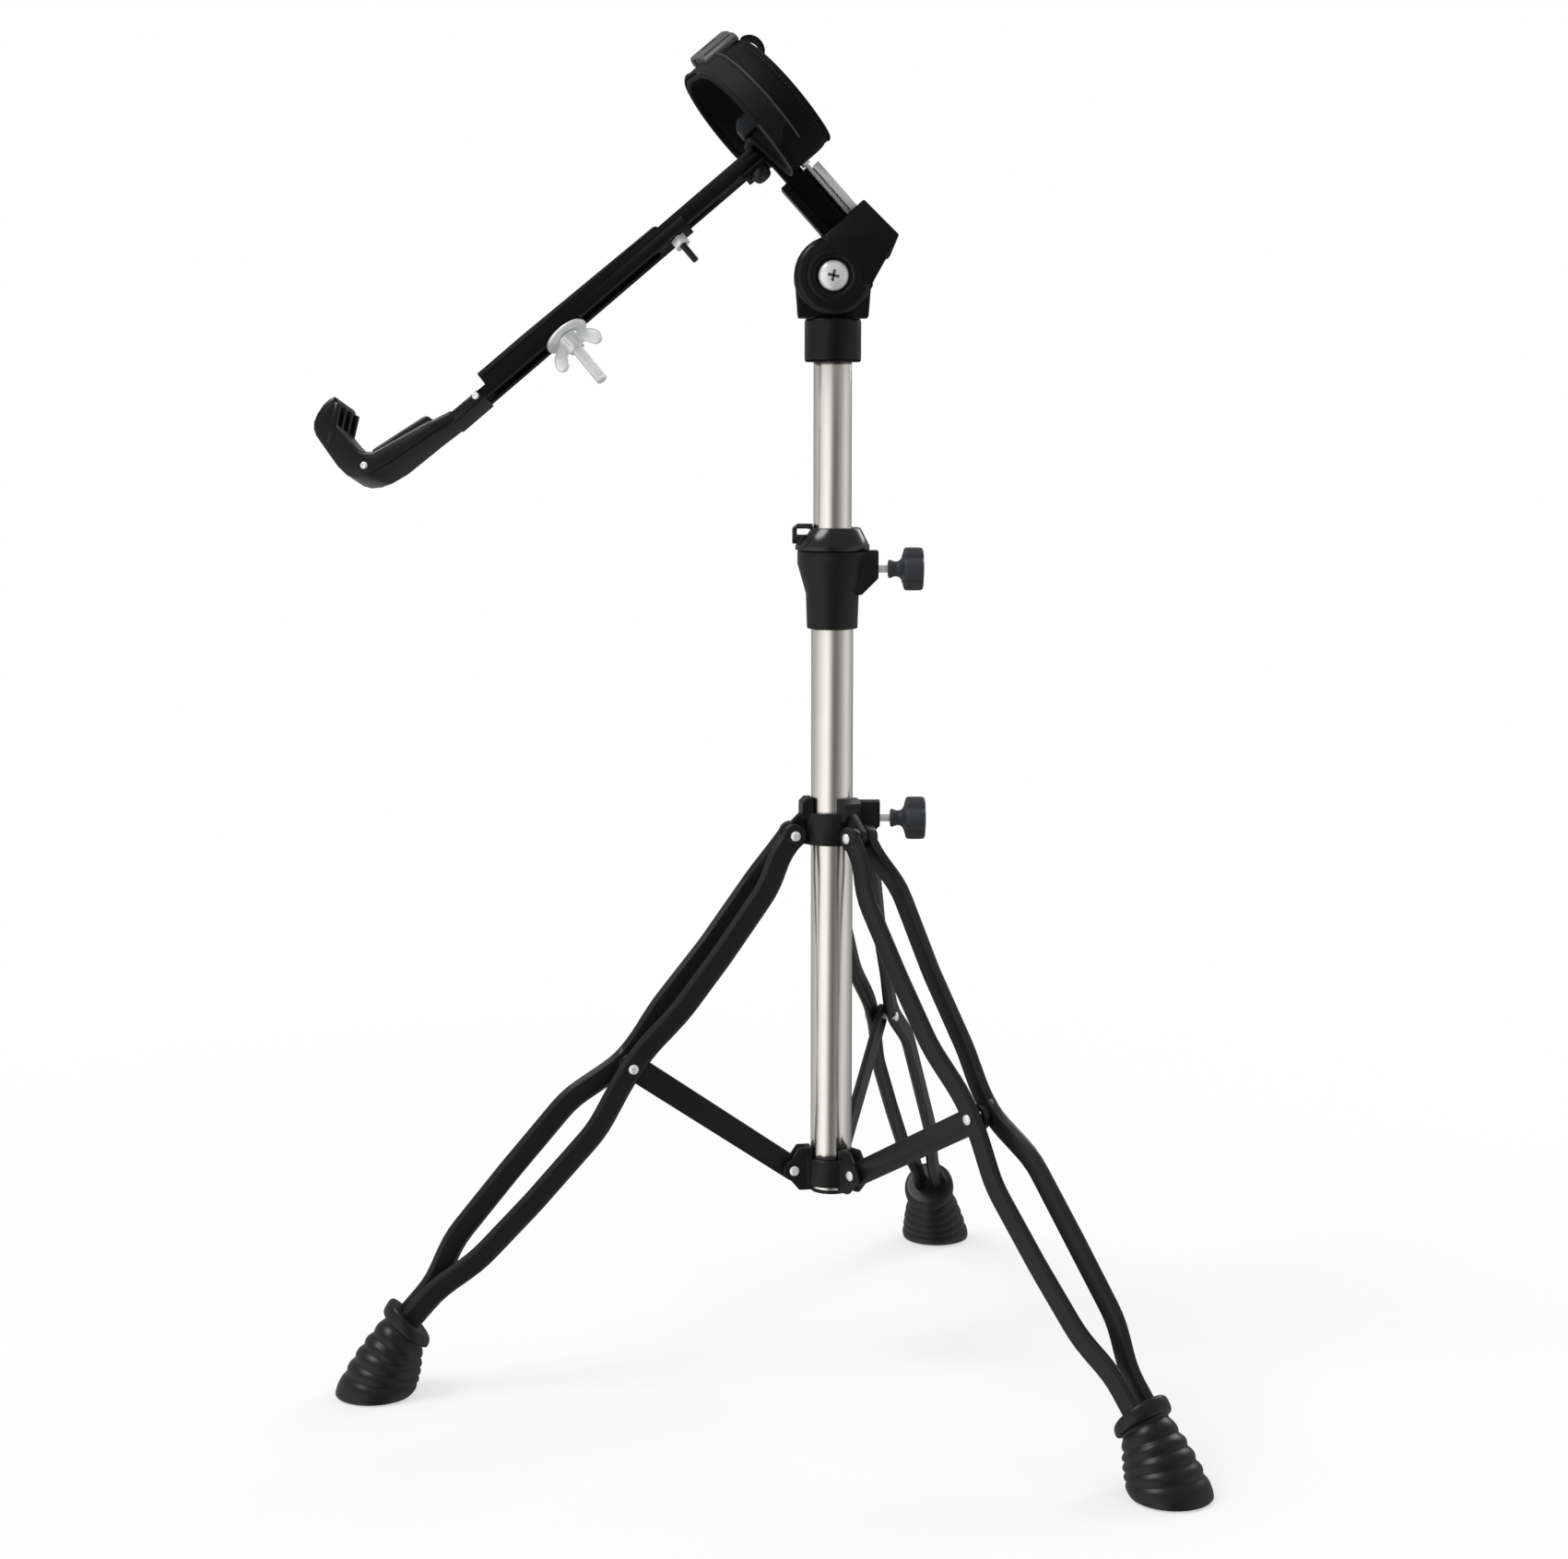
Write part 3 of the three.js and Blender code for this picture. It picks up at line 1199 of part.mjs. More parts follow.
function slopePlaced(parts) {
  const group = new THREE.Group();
  group.add(...parts);
  group.rotation.y = -armSlope;
  group.position.set(armSeat.x, 0, armSeat.z);
  return group;
}

// The whole stand, centred on the mast, then moved so that its footprint is centred on the origin
function headParts() {
  const head = new THREE.Group();
  head.add(
    neckPlaced([tilterHead(), neckChannel(), neckPlate(), neckScrew(), neckBar()]),
    ...tiltBoltParts(),
    armPlaced([
      armChannel(), armPad(), ...junctionBoltParts(), ...wingBoltParts(), wingNut(),
      hookBar(), hookRubber(), ...guideBoltParts(),
    ]),
    slopePlaced([
      strapSaddle(), waistPad(), strapScrew(),
      strapPlaced([...strapBandParts(), buckle(), strapKeeper()]),
    ]),
  );
  head.position.z = tiltAxisHeight;
  return head;
}

const screwTipInCollar = lowerTubeRadius + gap;
const screwTipInCup = upperTubeRadius + gap;
const collarKnobStart = collar.bossReach + collarKnobStandOff;
const cupKnobStart = cup.bossReach + cupKnobStandOff;

const mast = new THREE.Group();
mast.add(
  lowerTube(), tubePlug(), ...braceRingParts(), ...cupParts(),
  ...knobParts("height_knob", heightKnobAxis, screwTipInCup, cupKnobStart),
  ...collarParts(), ...knobParts("collar_knob", collarKnobAxis, screwTipInCollar, collarKnobStart),
  ...legs.map(legParts),
  upperTube(), ...memoryLockParts(), tilterBase(), headParts(),
);

const stand = new THREE.Group();
stand.add(mast);
stand.updateMatrixWorld(true);
const extent = new THREE.Box3().setFromObject(mast, true);
const centre = extent.getCenter(new THREE.Vector3());
mast.position.set(-centre.x, -centre.y, -extent.min.z);

export default stand;
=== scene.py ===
import math

import bpy
import numpy as np
from mathutils import Matrix, Vector


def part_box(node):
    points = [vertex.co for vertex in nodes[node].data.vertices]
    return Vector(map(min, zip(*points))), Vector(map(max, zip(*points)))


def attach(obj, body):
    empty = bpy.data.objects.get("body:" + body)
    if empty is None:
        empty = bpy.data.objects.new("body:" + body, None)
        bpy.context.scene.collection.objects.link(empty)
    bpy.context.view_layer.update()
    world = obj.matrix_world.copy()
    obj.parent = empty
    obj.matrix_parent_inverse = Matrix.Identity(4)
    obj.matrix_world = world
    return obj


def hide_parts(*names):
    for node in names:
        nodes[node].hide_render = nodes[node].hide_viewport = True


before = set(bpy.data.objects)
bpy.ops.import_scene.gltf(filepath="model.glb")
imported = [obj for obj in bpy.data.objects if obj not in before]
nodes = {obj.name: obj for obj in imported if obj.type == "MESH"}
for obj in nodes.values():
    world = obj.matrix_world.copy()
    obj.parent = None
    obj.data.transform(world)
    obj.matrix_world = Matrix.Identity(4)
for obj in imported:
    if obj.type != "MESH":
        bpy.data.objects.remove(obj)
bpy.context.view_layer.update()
scene = bpy.context.scene

# Local frames. Pieces are drawn in millimetres and placed by these in the row frame's metres.
tube_low, tube_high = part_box("lower_tube")
mast_axis = Vector(((tube_low.x + tube_high.x) / 2, (tube_low.y + tube_high.y) / 2, 0))
to_metres = Matrix.Scale(0.001, 4)
mast_frame = Matrix.Translation(mast_axis) @ to_metres
tilt_axis_height = 669.4
arm_reach, arm_rise = -60.3, 51.3
arm_slope, arm_roll, strap_yaw = 40, 20, 6.5
strap_offset = 39.5


def rotation(degrees, axis):
    return Matrix.Rotation(math.radians(degrees), 4, axis)


arm_top = Matrix.Translation((arm_reach, 0, tilt_axis_height + arm_rise))
slope_frame = mast_frame @ arm_top @ rotation(-arm_slope, "Y")
arm_frame = slope_frame @ rotation(-arm_roll, "X")
strap_frame = slope_frame @ Matrix.Translation((strap_offset, 0, 0)) @ rotation(strap_yaw, "Z")
legs = {
    "left": {"azimuth": 191, "pivot": (124, 196.2), "entry": (258.5, 48)},
    "right": {"azimuth": -49.6, "pivot": (130, 183.5), "entry": (257, 43.5)},
    "back": {"azimuth": 73.5, "pivot": (124, 196.2), "entry": (258.5, 48)},
}
for leg in legs.values():
    leg["frame"] = mast_frame @ rotation(leg["azimuth"], "Z")
leg_pivot = (24.3, 335.7)
ring_pivot = (24.3, 127)


# Modelling helpers
def only(obj):
    bpy.ops.object.select_all(action="DESELECT")
    obj.select_set(True)
    bpy.context.view_layer.objects.active = obj
    return obj


def drawn(name, verts, edges=(), faces=()):
    mesh = bpy.data.meshes.new(name)
    mesh.from_pydata([tuple(v) for v in verts], list(edges), list(faces))
    obj = bpy.data.objects.new(name, mesh)
    scene.collection.objects.link(obj)
    return only(obj)


def edit(obj, *steps):
    """Runs mesh operators on the whole of obj."""
    only(obj)
    bpy.ops.object.mode_set(mode="EDIT")
    for step in steps:
        bpy.ops.mesh.select_all(action="SELECT")
        step()
    bpy.ops.object.mode_set(mode="OBJECT")
    return obj


def outward():
    bpy.ops.mesh.normals_make_consistent(inside=False)


def merge(distance=0.001):
    return lambda: bpy.ops.mesh.remove_doubles(threshold=distance)


def named(obj, name):
    obj.name = name
    obj.data.name = name
    return obj


def modify(obj, kind, **settings):
    modifier = obj.modifiers.new(kind.lower(), kind)
    for key, value in settings.items():
        setattr(modifier, key, value)
    only(obj)
    bpy.ops.object.modifier_apply(modifier=modifier.name)
    return obj


def rounded(obj, width, segments=3, angle=35):
    limit = math.radians(angle)
    return modify(obj, "BEVEL", width=width, segments=segments, limit_method="ANGLE", angle_limit=limit)


def refined(obj):
    return modify(obj, "SUBSURF", levels=1, render_levels=1)


def smooth(obj, angle=35):
    only(obj)
    bpy.ops.object.shade_smooth_by_angle(angle=math.radians(angle))
    return obj


def shifted(obj, x=0, y=0, z=0):
    obj.data.transform(Matrix.Translation((x, y, z)))
    return obj


def turned_about(obj, axis, degrees):
    obj.data.transform(rotation(degrees, axis))
    return obj


def turned(name, profile, sides=48, ring=False):
    """A body of revolution about Z.

    The [radius, height] points of its profile start and end on the axis, or go round a ring's section.
    """
    verts = [(r, 0, z) for r, z in profile]
    edges = [(i, i + 1) for i in range(len(verts) - 1)]
    if ring:
        edges.append((len(verts) - 1, 0))
    obj = drawn(name, verts, edges)
    return edit(
        obj,
        lambda: bpy.ops.mesh.spin(steps=sides, angle=2 * math.pi, center=(0, 0, 0), axis=(0, 0, 1)),
        merge(), outward,
    )


def lofted(name, rings, closed=False):
    """A skin over rings of points; its ends are filled unless it closes on itself."""
    count, around = len(rings), len(rings[0])
    verts = [p for ring in rings for p in ring]
    spans = count if closed else count - 1
    faces = [
        (i * around + j, i * around + (j + 1) % around,
         (i + 1) % count * around + (j + 1) % around, (i + 1) % count * around + j)
        for i in range(spans) for j in range(around)
    ]
    if not closed:
        faces += [tuple(range(around)), tuple(range((count - 1) * around, count * around))]
    return edit(drawn(name, verts, (), faces), outward)


def slab(name, outline, low, high):
    """An outline of [x, z] points extruded along Y."""
    rings = [[(x, y, z) for x, z in outline] for y in (low, high)]
    return lofted(name, rings)


def box_piece(name, low, high, edge=0, segments=3):
    size = [b - a for a, b in zip(low, high)]
    centre = [(a + b) / 2 for a, b in zip(low, high)]
    bpy.ops.object.select_all(action="DESELECT")
    bpy.ops.mesh.primitive_cube_add(size=1, location=centre, scale=size)
    obj = named(bpy.context.active_object, name)
    bpy.ops.object.transform_apply(location=True, rotation=True, scale=True)
    return rounded(obj, edge, segments) if edge else obj


def joined(name, *objects):
    only(objects[0])
    for obj in objects:
        obj.select_set(True)
    bpy.ops.object.join()
    return named(bpy.context.active_object, name)


def carved(obj, tool):
    """obj with the space of tool taken out of it."""
    modify(obj, "BOOLEAN", operation="DIFFERENCE", object=tool, solver="EXACT")
    bpy.data.objects.remove(tool)
    return obj


def installed(obj, local_frame, body, material, replaces=()):
    """Places a finished piece in the row frame and gives it its finish and its body."""
    obj.data.transform(local_frame)
    obj.data.materials.clear()
    obj.data.materials.append(material)
    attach(obj, body)
    if replaces:
        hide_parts(*replaces)
    return obj


# Shader groups shared by the finishes
def new_group(name, inputs, outputs):
    tree = bpy.data.node_groups.new(name, "ShaderNodeTree")
    for label, kind, value in inputs:
        socket = tree.interface.new_socket(label, in_out="INPUT", socket_type=kind)
        if value is not None:
            socket.default_value = value
    for label, kind in outputs:
        tree.interface.new_socket(label, in_out="OUTPUT", socket_type=kind)
    return tree, tree.nodes.new("NodeGroupInput"), tree.nodes.new("NodeGroupOutput")


def feed(tree, socket, value):
    """Gives a socket another node's output, or a plain number or colour."""
    if isinstance(value, bpy.types.NodeSocket):
        tree.links.new(value, socket)
    else:
        socket.default_value = value


def math_node(tree, operation, first, second=0.5):
    node = tree.nodes.new("ShaderNodeMath")
    node.operation = operation
    for socket, value in zip(node.inputs, (first, second)):
        feed(tree, socket, value)
    return node.outputs[0]


def noise(tree, vector, scale, detail, roughness):
    node = tree.nodes.new("ShaderNodeTexNoise")
    for label, value in (("Vector", vector), ("Scale", scale), ("Detail", detail), ("Roughness", roughness)):
        feed(tree, node.inputs[label], value)
    return node.outputs["Fac"]


def ranged(tree, value, low=0, high=1, start=0, end=1, eased=False):
    """A value between low and high, carried over to the range from start to end."""
    node = tree.nodes.new("ShaderNodeMapRange")
    if eased:
        node.interpolation_type = "SMOOTHSTEP"
    for label, number in (("From Min", low), ("From Max", high), ("To Min", start), ("To Max", end)):
        node.inputs[label].default_value = number
    tree.links.new(value, node.inputs["Value"])
    return node.outputs["Result"]


def color_mix(tree, factor, first, second, blend="MIX"):
    node = tree.nodes.new("ShaderNodeMix")
    node.data_type = "RGBA"
    node.blend_type = blend
    for place, value in (("Factor", factor), (6, first), (7, second)):
        feed(tree, node.inputs[place], value)
    return node.outputs[2]


def grain_group():
    """Fine grain of a moulding or a powder coat, with a slow drift of tone over it."""
    tree, given, out = new_group(
        "surface grain",
        [
            ("Vector", "NodeSocketVector", None), ("Scale", "NodeSocketFloat", 1500.0),
            ("Drift", "NodeSocketFloat", 0.15),
        ],
        [("Height", "NodeSocketFloat"), ("Tone", "NodeSocketFloat")],
    )
    fine = noise(tree, given.outputs["Vector"], given.outputs["Scale"], detail=2, roughness=0.6)
    slow = noise(tree, given.outputs["Vector"], scale=22, detail=4, roughness=0.6)
    swing = math_node(tree, "MULTIPLY", math_node(tree, "SUBTRACT", slow, 0.5), given.outputs["Drift"])
    tree.links.new(fine, out.inputs["Height"])
    tree.links.new(math_node(tree, "ADD", swing, 1.0), out.inputs["Tone"])
    return tree


def wear_group():
    """Rubbed and dusty patches, as a mask."""
    tree, given, out = new_group(
        "light wear",
        [("Vector", "NodeSocketVector", None), ("Amount", "NodeSocketFloat", 0.2)],
        [("Mask", "NodeSocketFloat")],
    )
    patches = noise(tree, given.outputs["Vector"], scale=60, detail=5, roughness=0.7)
    rubbed = ranged(tree, patches, 0.52, 0.75)
    scratches = noise(tree, given.outputs["Vector"], scale=420, detail=2, roughness=0.8)
    mask = math_node(tree, "MULTIPLY", rubbed, scratches)
    tree.links.new(math_node(tree, "MULTIPLY", mask, given.outputs["Amount"]), out.inputs["Mask"])
    return tree


def weave_group():
    """Crossed threads on a piece's own UV map, where one unit is one thread; their low places are darkened as
    painted shade.
    """
    tree, given, out = new_group(
        "thread weave",
        [("Vector", "NodeSocketVector", None)],
        [("Height", "NodeSocketFloat"), ("Tone", "NodeSocketFloat")],
    )
    split = tree.nodes.new("ShaderNodeSeparateXYZ")
    tree.links.new(given.outputs["Vector"], split.inputs[0])
    along = math_node(tree, "SINE", math_node(tree, "MULTIPLY", split.outputs["X"], 2 * math.pi))
    across = math_node(tree, "SINE", math_node(tree, "MULTIPLY", split.outputs["Y"], 2 * math.pi))
    threads = math_node(tree, "MULTIPLY", along, across)
    height = math_node(tree, "ADD", math_node(tree, "MULTIPLY", threads, 0.5), 0.5)
    fuzz = noise(tree, given.outputs["Vector"], scale=3, detail=2, roughness=0.6)
    fluffed = math_node(tree, "ADD", height, math_node(tree, "MULTIPLY", fuzz, 0.4))
    # Tone falls with the weave's height: painted shade between the threads.
    tone = math_node(tree, "ADD", math_node(tree, "MULTIPLY", height, 0.35), 0.8)
    tree.links.new(fluffed, out.inputs["Height"])
    tree.links.new(tone, out.inputs["Tone"])
    return tree


grain = grain_group()
wear = wear_group()
weave = weave_group()


# Finishes
def placed_group(tree, group, vector, **values):
    node = tree.nodes.new("ShaderNodeGroup")
    node.node_tree = group
    tree.links.new(vector, node.inputs["Vector"])
    for key, value in values.items():
        node.inputs[key].default_value = value
    return node


def tinted(tree, color, tone):
    """color with its brightness swung by tone."""
    return color_mix(tree, 1, (*color, 1), tone, "MULTIPLY")


def new_finish(name, **settings):
    material = bpy.data.materials.new(name)
    material.use_nodes = True
    shader = material.node_tree.nodes["Principled BSDF"]
    for key, value in settings.items():
        shader.inputs[key].default_value = value
    return material, material.node_tree, shader


def bump(tree, shader, height, distance):
    node = tree.nodes.new("ShaderNodeBump")
    node.inputs["Distance"].default_value = distance
    node.inputs["Strength"].default_value = 1
    tree.links.new(height, node.inputs["Height"])
    tree.links.new(node.outputs["Normal"], shader.inputs["Normal"])


def coated(name, color, worn_color, roughness, worn_roughness, level, scale, depth, drift=0.25, amount=0.3):
    """A painted, moulded or rubber surface: fine grain, slow drift of tone, and light rubbing."""
    material, tree, shader = new_finish(name, **{"Specular IOR Level": level})
    place = tree.nodes.new("ShaderNodeTexCoord").outputs["Object"]
    skin = placed_group(tree, grain, place, Scale=scale, Drift=drift)
    rubbed = placed_group(tree, wear, place, Amount=amount).outputs["Mask"]
    fresh = tinted(tree, color, skin.outputs["Tone"])
    tree.links.new(color_mix(tree, rubbed, fresh, (*worn_color, 1)), shader.inputs["Base Color"])
    spread = ranged(tree, rubbed, start=roughness, end=worn_roughness)
    tree.links.new(spread, shader.inputs["Roughness"])
    bump(tree, shader, skin.outputs["Height"], depth)
    return material


def metal(name, color, roughness, stretch, streaks, depth, **settings):
    """Bare metal with fine marks drawn out along one direction, which swing its roughness."""
    smoothest_share, roughest_share = 0.7, 1.4
    material, tree, shader = new_finish(name, **{"Metallic": 1.0, **settings})
    place = tree.nodes.new("ShaderNodeTexCoord").outputs["Object"]
    mapping = tree.nodes.new("ShaderNodeMapping")
    mapping.inputs["Scale"].default_value = stretch
    tree.links.new(place, mapping.inputs["Vector"])
    marks = noise(tree, mapping.outputs["Vector"], streaks, detail=4, roughness=0.65)
    skin = placed_group(tree, grain, place, Scale=900, Drift=0.12)
    tree.links.new(tinted(tree, color, skin.outputs["Tone"]), shader.inputs["Base Color"])
    spread = ranged(tree, marks, start=roughness * smoothest_share, end=roughness * roughest_share)
    tree.links.new(spread, shader.inputs["Roughness"])
    bump(tree, shader, marks, depth)
    return material


def cloth(name, color, roughness, depth, **settings):
    """Woven or knitted cloth whose threads follow the piece's UV map."""
    material, tree, shader = new_finish(name, Roughness=roughness, **settings)
    uv = tree.nodes.new("ShaderNodeUVMap").outputs["UV"]
    threads = placed_group(tree, weave, uv)
    place = tree.nodes.new("ShaderNodeTexCoord").outputs["Object"]
    slow = placed_group(tree, grain, place, Scale=300, Drift=0.5)
    # The threads' tone carries painted shade in the weave's low places.
    tone = math_node(tree, "MULTIPLY", threads.outputs["Tone"], slow.outputs["Tone"])
    tree.links.new(tinted(tree, color, tone), shader.inputs["Base Color"])
    bump(tree, shader, threads.outputs["Height"], depth)
    return material


powder_coat = coated(
    "satin black powder coat", (0.0095, 0.0097, 0.0102), worn_color=(0.02, 0.02, 0.021), roughness=0.36,
    worn_roughness=0.5, level=0.34, scale=1300, depth=0.00001,
)
arm_enamel = coated(
    "gloss black enamel", (0.0032, 0.0033, 0.0036), worn_color=(0.01, 0.01, 0.011), roughness=0.26,
    worn_roughness=0.4, level=0.1, scale=1300, depth=0.000006,
)
casting = coated(
    "satin casting enamel", (0.0052, 0.0056, 0.0066), worn_color=(0.014, 0.015, 0.016), roughness=0.32,
    worn_roughness=0.45, level=0.22, scale=1300, depth=0.00001,
)
moulding = coated(
    "black moulded plastic", (0.008, 0.0082, 0.0087), worn_color=(0.02, 0.021, 0.022), roughness=0.4,
    worn_roughness=0.55, level=0.26, scale=1800, depth=0.00001,
)
polished_plastic = coated(
    "polished plastic", (0.008, 0.0083, 0.0095), worn_color=(0.02, 0.021, 0.022), roughness=0.2,
    worn_roughness=0.4, level=0.5, scale=1800, depth=0.000004,
)
knob_plastic = coated(
    "knob plastic", (0.042, 0.044, 0.05), worn_color=(0.07, 0.072, 0.078), roughness=0.45,
    worn_roughness=0.62, level=0.3, scale=1800, depth=0.00001,
)
black_rubber = coated(
    "black rubber", (0.0085, 0.0087, 0.0092), worn_color=(0.025, 0.026, 0.027), roughness=0.36,
    worn_roughness=0.7, level=0.34, scale=1100, depth=0.000012, drift=0.4, amount=0.4,
)
strip_rubber = coated(
    "arm strip rubber", (0.008, 0.0082, 0.0087), worn_color=(0.02, 0.02, 0.02), roughness=0.5,
    worn_roughness=0.75, level=0.2, scale=1100, depth=0.00002, drift=0.3, amount=0.3,
)
grip_rubber = coated(
    "glossy grip rubber", (0.006, 0.0062, 0.0068), worn_color=(0.012, 0.013, 0.014), roughness=0.2,
    worn_roughness=0.4, level=0.34, scale=1100, depth=0.000004, drift=0.3, amount=0.3,
)
block_rubber = coated(
    "soft block rubber", (0.026, 0.029, 0.034), worn_color=(0.05, 0.052, 0.056), roughness=0.5,
    worn_roughness=0.7, level=0.25, scale=1100, depth=0.00002, drift=0.4, amount=0.4,
)
nylon = coated(
    "nylon bush", (0.012, 0.012, 0.012), worn_color=(0.03, 0.03, 0.03), roughness=0.5,
    worn_roughness=0.6, level=0.25, scale=1500, depth=0.00003,
)
buckle_plastic = coated(
    "buckle plastic", (0.075, 0.076, 0.078), worn_color=(0.11, 0.11, 0.11), roughness=0.42,
    worn_roughness=0.6, level=0.3, scale=1500, depth=0.00001,
)
satin_tube = metal(
    "satin plated tube", (0.86, 0.835, 0.79), roughness=0.2, stretch=(1, 1, 0.04), streaks=900,
    depth=0.00001,
)
bright_zinc = metal(
    "bright zinc", (0.94, 0.95, 0.95), roughness=0.34, stretch=(1, 1, 1), streaks=700, depth=0.0000015,
    Metallic=0.45,
)
# Dark zinc for the floor of the tilter screw's cross recess: painted shade in the recess.
recess_shade_zinc = metal(
    "zinc darkened as painted shade in the recess", (0.16, 0.17, 0.18), roughness=0.5, stretch=(1, 1, 1), streaks=700,
    depth=0.0000015,
)
band_cloth = cloth(
    "padded band cloth", (0.0038, 0.004, 0.0046), roughness=0.6, depth=0.00005,
    **{"Specular IOR Level": 0.1, "Sheen Weight": 0.012},
)
tape_cloth = cloth(
    "webbing tape", (0.0062, 0.0066, 0.0074), roughness=0.55, depth=0.00012,
    **{"Specular IOR Level": 0.16, "Sheen Weight": 0.02},
)
# The piping's pale colour is a painted highlight: it stands for the lit edges along the tape and the band.
piping_highlight_cloth = coated(
    "piping cloth pale as painted highlight", (0.04, 0.043, 0.047), worn_color=(0.06, 0.06, 0.062), roughness=0.5,
    worn_roughness=0.7, level=0.3, scale=2500, depth=0.00001,
)
thread = coated(
    "stitching thread", (0.02, 0.021, 0.024), worn_color=(0.04, 0.04, 0.04), roughness=0.6,
    worn_roughness=0.8, level=0.25, scale=2500, depth=0.00004,
)


# CAD nodes that keep their shape: finish and softened edges
weld_distance = 0.000005
flat_angle = math.radians(1)
edge_angle = math.radians(32)


def dressed(material, edge, segments, *names, clamped=False):
    for name in names:
        node = nodes[name]
        node.data.materials.clear()
        node.data.materials.append(material)
        node.data.polygons.foreach_set("use_smooth", [True] * len(node.data.polygons))
        weld = node.modifiers.new("weld", "WELD")
        weld.merge_threshold = weld_distance
        flat = node.modifiers.new("flatten", "DECIMATE")
        flat.decimate_type = "DISSOLVE"
        flat.angle_limit = flat_angle
        soften = node.modifiers.new("soften", "BEVEL")
        soften.width = edge * 0.001
        soften.segments = segments
        soften.limit_method = "ANGLE"
        soften.angle_limit = edge_angle
        soften.harden_normals = True
        soften.use_clamp_overlap = clamped
        soften.loop_slide = False
        soften.miter_outer = "MITER_ARC"


sides = ("left", "right", "back")
dressed(satin_tube, 0.2, 2, "lower_tube", "upper_tube")
dressed(moulding, 0.6, 2, "height_cup", "brace_ring")
dressed(moulding, 0.5, 2, "leg_collar", clamped=True)
dressed(polished_plastic, 0.6, 2, "memory_lock")
dressed(moulding, 0.4, 2, "strap_saddle", "tube_plug")
dressed(nylon, 0.2, 1, "height_bushing")
dressed(casting, 1.2, 3, "tilter_base", "tilter_head")
dressed(arm_enamel, 0.7, 3, "neck_channel", "neck_bar")
dressed(arm_enamel, 0.5, 3, "arm_channel", "hook_bar", clamped=True)
dressed(powder_coat, 0.35, 2, "junction_bolt", "guide_bolt")
dressed(powder_coat, 0.8, 3, *(f"strut_inner_{side}" for side in sides))
dressed(powder_coat, 1.1, 3, *(f"strut_outer_{side}" for side in sides), clamped=True)
dressed(powder_coat, 0.5, 2, *(f"brace_{side}" for side in sides))
dressed(
    bright_zinc, 0.25, 2, "neck_plate", "neck_screw", "junction_nut", "wing_washer", "guide_nut", "tilt_nut",
    "strap_screw", "memory_lock_screw", "height_knob_bolt", "collar_knob_bolt",
)
dressed(strip_rubber, 0.8, 3, "arm_pad")


# Rivets: a domed head with a dimple at each end
def rivet(name, side, point, span, body):
    head, rim, shank, dome = 3.0, 0.5, 1.9, 1.5
    half = [
        (0, span + dome * 0.5), (0.8, span + dome * 0.55), (1.05, span + dome), (1.9, span + dome * 0.92),
        (head - 0.4, span + rim + 0.3), (head, span + rim), (head, span), (shank, span),
    ]
    profile = half + [(r, -z) for r, z in reversed(half)]
    obj = turned_about(turned(name + "_domed", profile, 24), "X", 90)
    shifted(obj, point[0], 0, point[1])
    return installed(smooth(obj, 40), legs[side]["frame"], body, bright_zinc, [name])


for side, leg in legs.items():
    rivet(f"ring_rivet_{side}", side, ring_pivot, 6.1, "mast")
    rivet(f"collar_rivet_{side}", side, leg_pivot, 9.8, "collar")
    rivet(f"leg_rivet_{side}", side, leg["pivot"], 9.8, f"leg_{side}")


# Clamp knobs: a hub that flares into a four-lobed head
knob_profile = [
    (0, 0.2), (5.0, 0.2), (5.6, 0.9), (5.5, 2.2), (4.7, 3.4), (4.4, 5.4), (5.0, 7.2), (6.6, 8.6), (11.6, 9.6),
    (12.8, 10.4), (13, 11.6), (13, 19.6), (12.7, 20.9), (11.6, 21.6), (8.6, 21.9), (5.6, 21.7), (4.6, 21.0),
    (0, 20.8),
]
lobe_dip = 3.6
lobe_sharpness = 1.6
head_from, head_ramp = 8, 2
lobe_from, lobe_depth = 5, 8


def knob(name, start, height, body):
    obj = turned(name + "_lobed", knob_profile, 72)
    for vertex in obj.data.vertices:
        x, y, z = vertex.co
        reach = math.hypot(x, y)
        if z > head_from and reach > lobe_from:
            share = min(1, (z - head_from) / head_ramp) * (reach - lobe_from) / lobe_depth
            between_lobes = 1 - abs(math.cos(2 * math.atan2(y, x)))
            dip = lobe_dip * share * between_lobes ** lobe_sharpness
            vertex.co.x = x * (reach - dip) / reach
            vertex.co.y = y * (reach - dip) / reach
    refined(obj)
    shifted(turned_about(obj, "Y", 90), start, 0, height)
    return installed(smooth(obj, 50), mast_frame, body, knob_plastic, [name])


knob("height_knob", 33.1, 496.3, "height_clamp")
knob("collar_knob", 35.1, 345, "collar_clamp")


# Rubber boots: ribbed rings from a collar to the flat sole
boot_shares = [
    (0, 0.5), (0, 0.66), (0.012, 0.71), (0.04, 0.745), (0.12, 0.75), (0.15, 0.725), (0.162, 0.68),
    (0.17, 0.605), (0.2, 0.6), (0.225, 0.64), (0.27, 0.7), (0.33, 0.72), (0.355, 0.685), (0.37, 0.7),
    (0.41, 0.79), (0.46, 0.81), (0.49, 0.765), (0.505, 0.78), (0.545, 0.865), (0.6, 0.88), (0.63, 0.835),
    (0.645, 0.85), (0.685, 0.93), (0.735, 0.94), (0.765, 0.89), (0.78, 0.905), (0.82, 0.98), (0.87, 1.0),
    (0.93, 1.0), (0.975, 0.985), (1, 0.93),
]
sole_radius = 23.5
sole_reach = 283.5
boot_lean = 48
boot_top_past_entry = 1.7


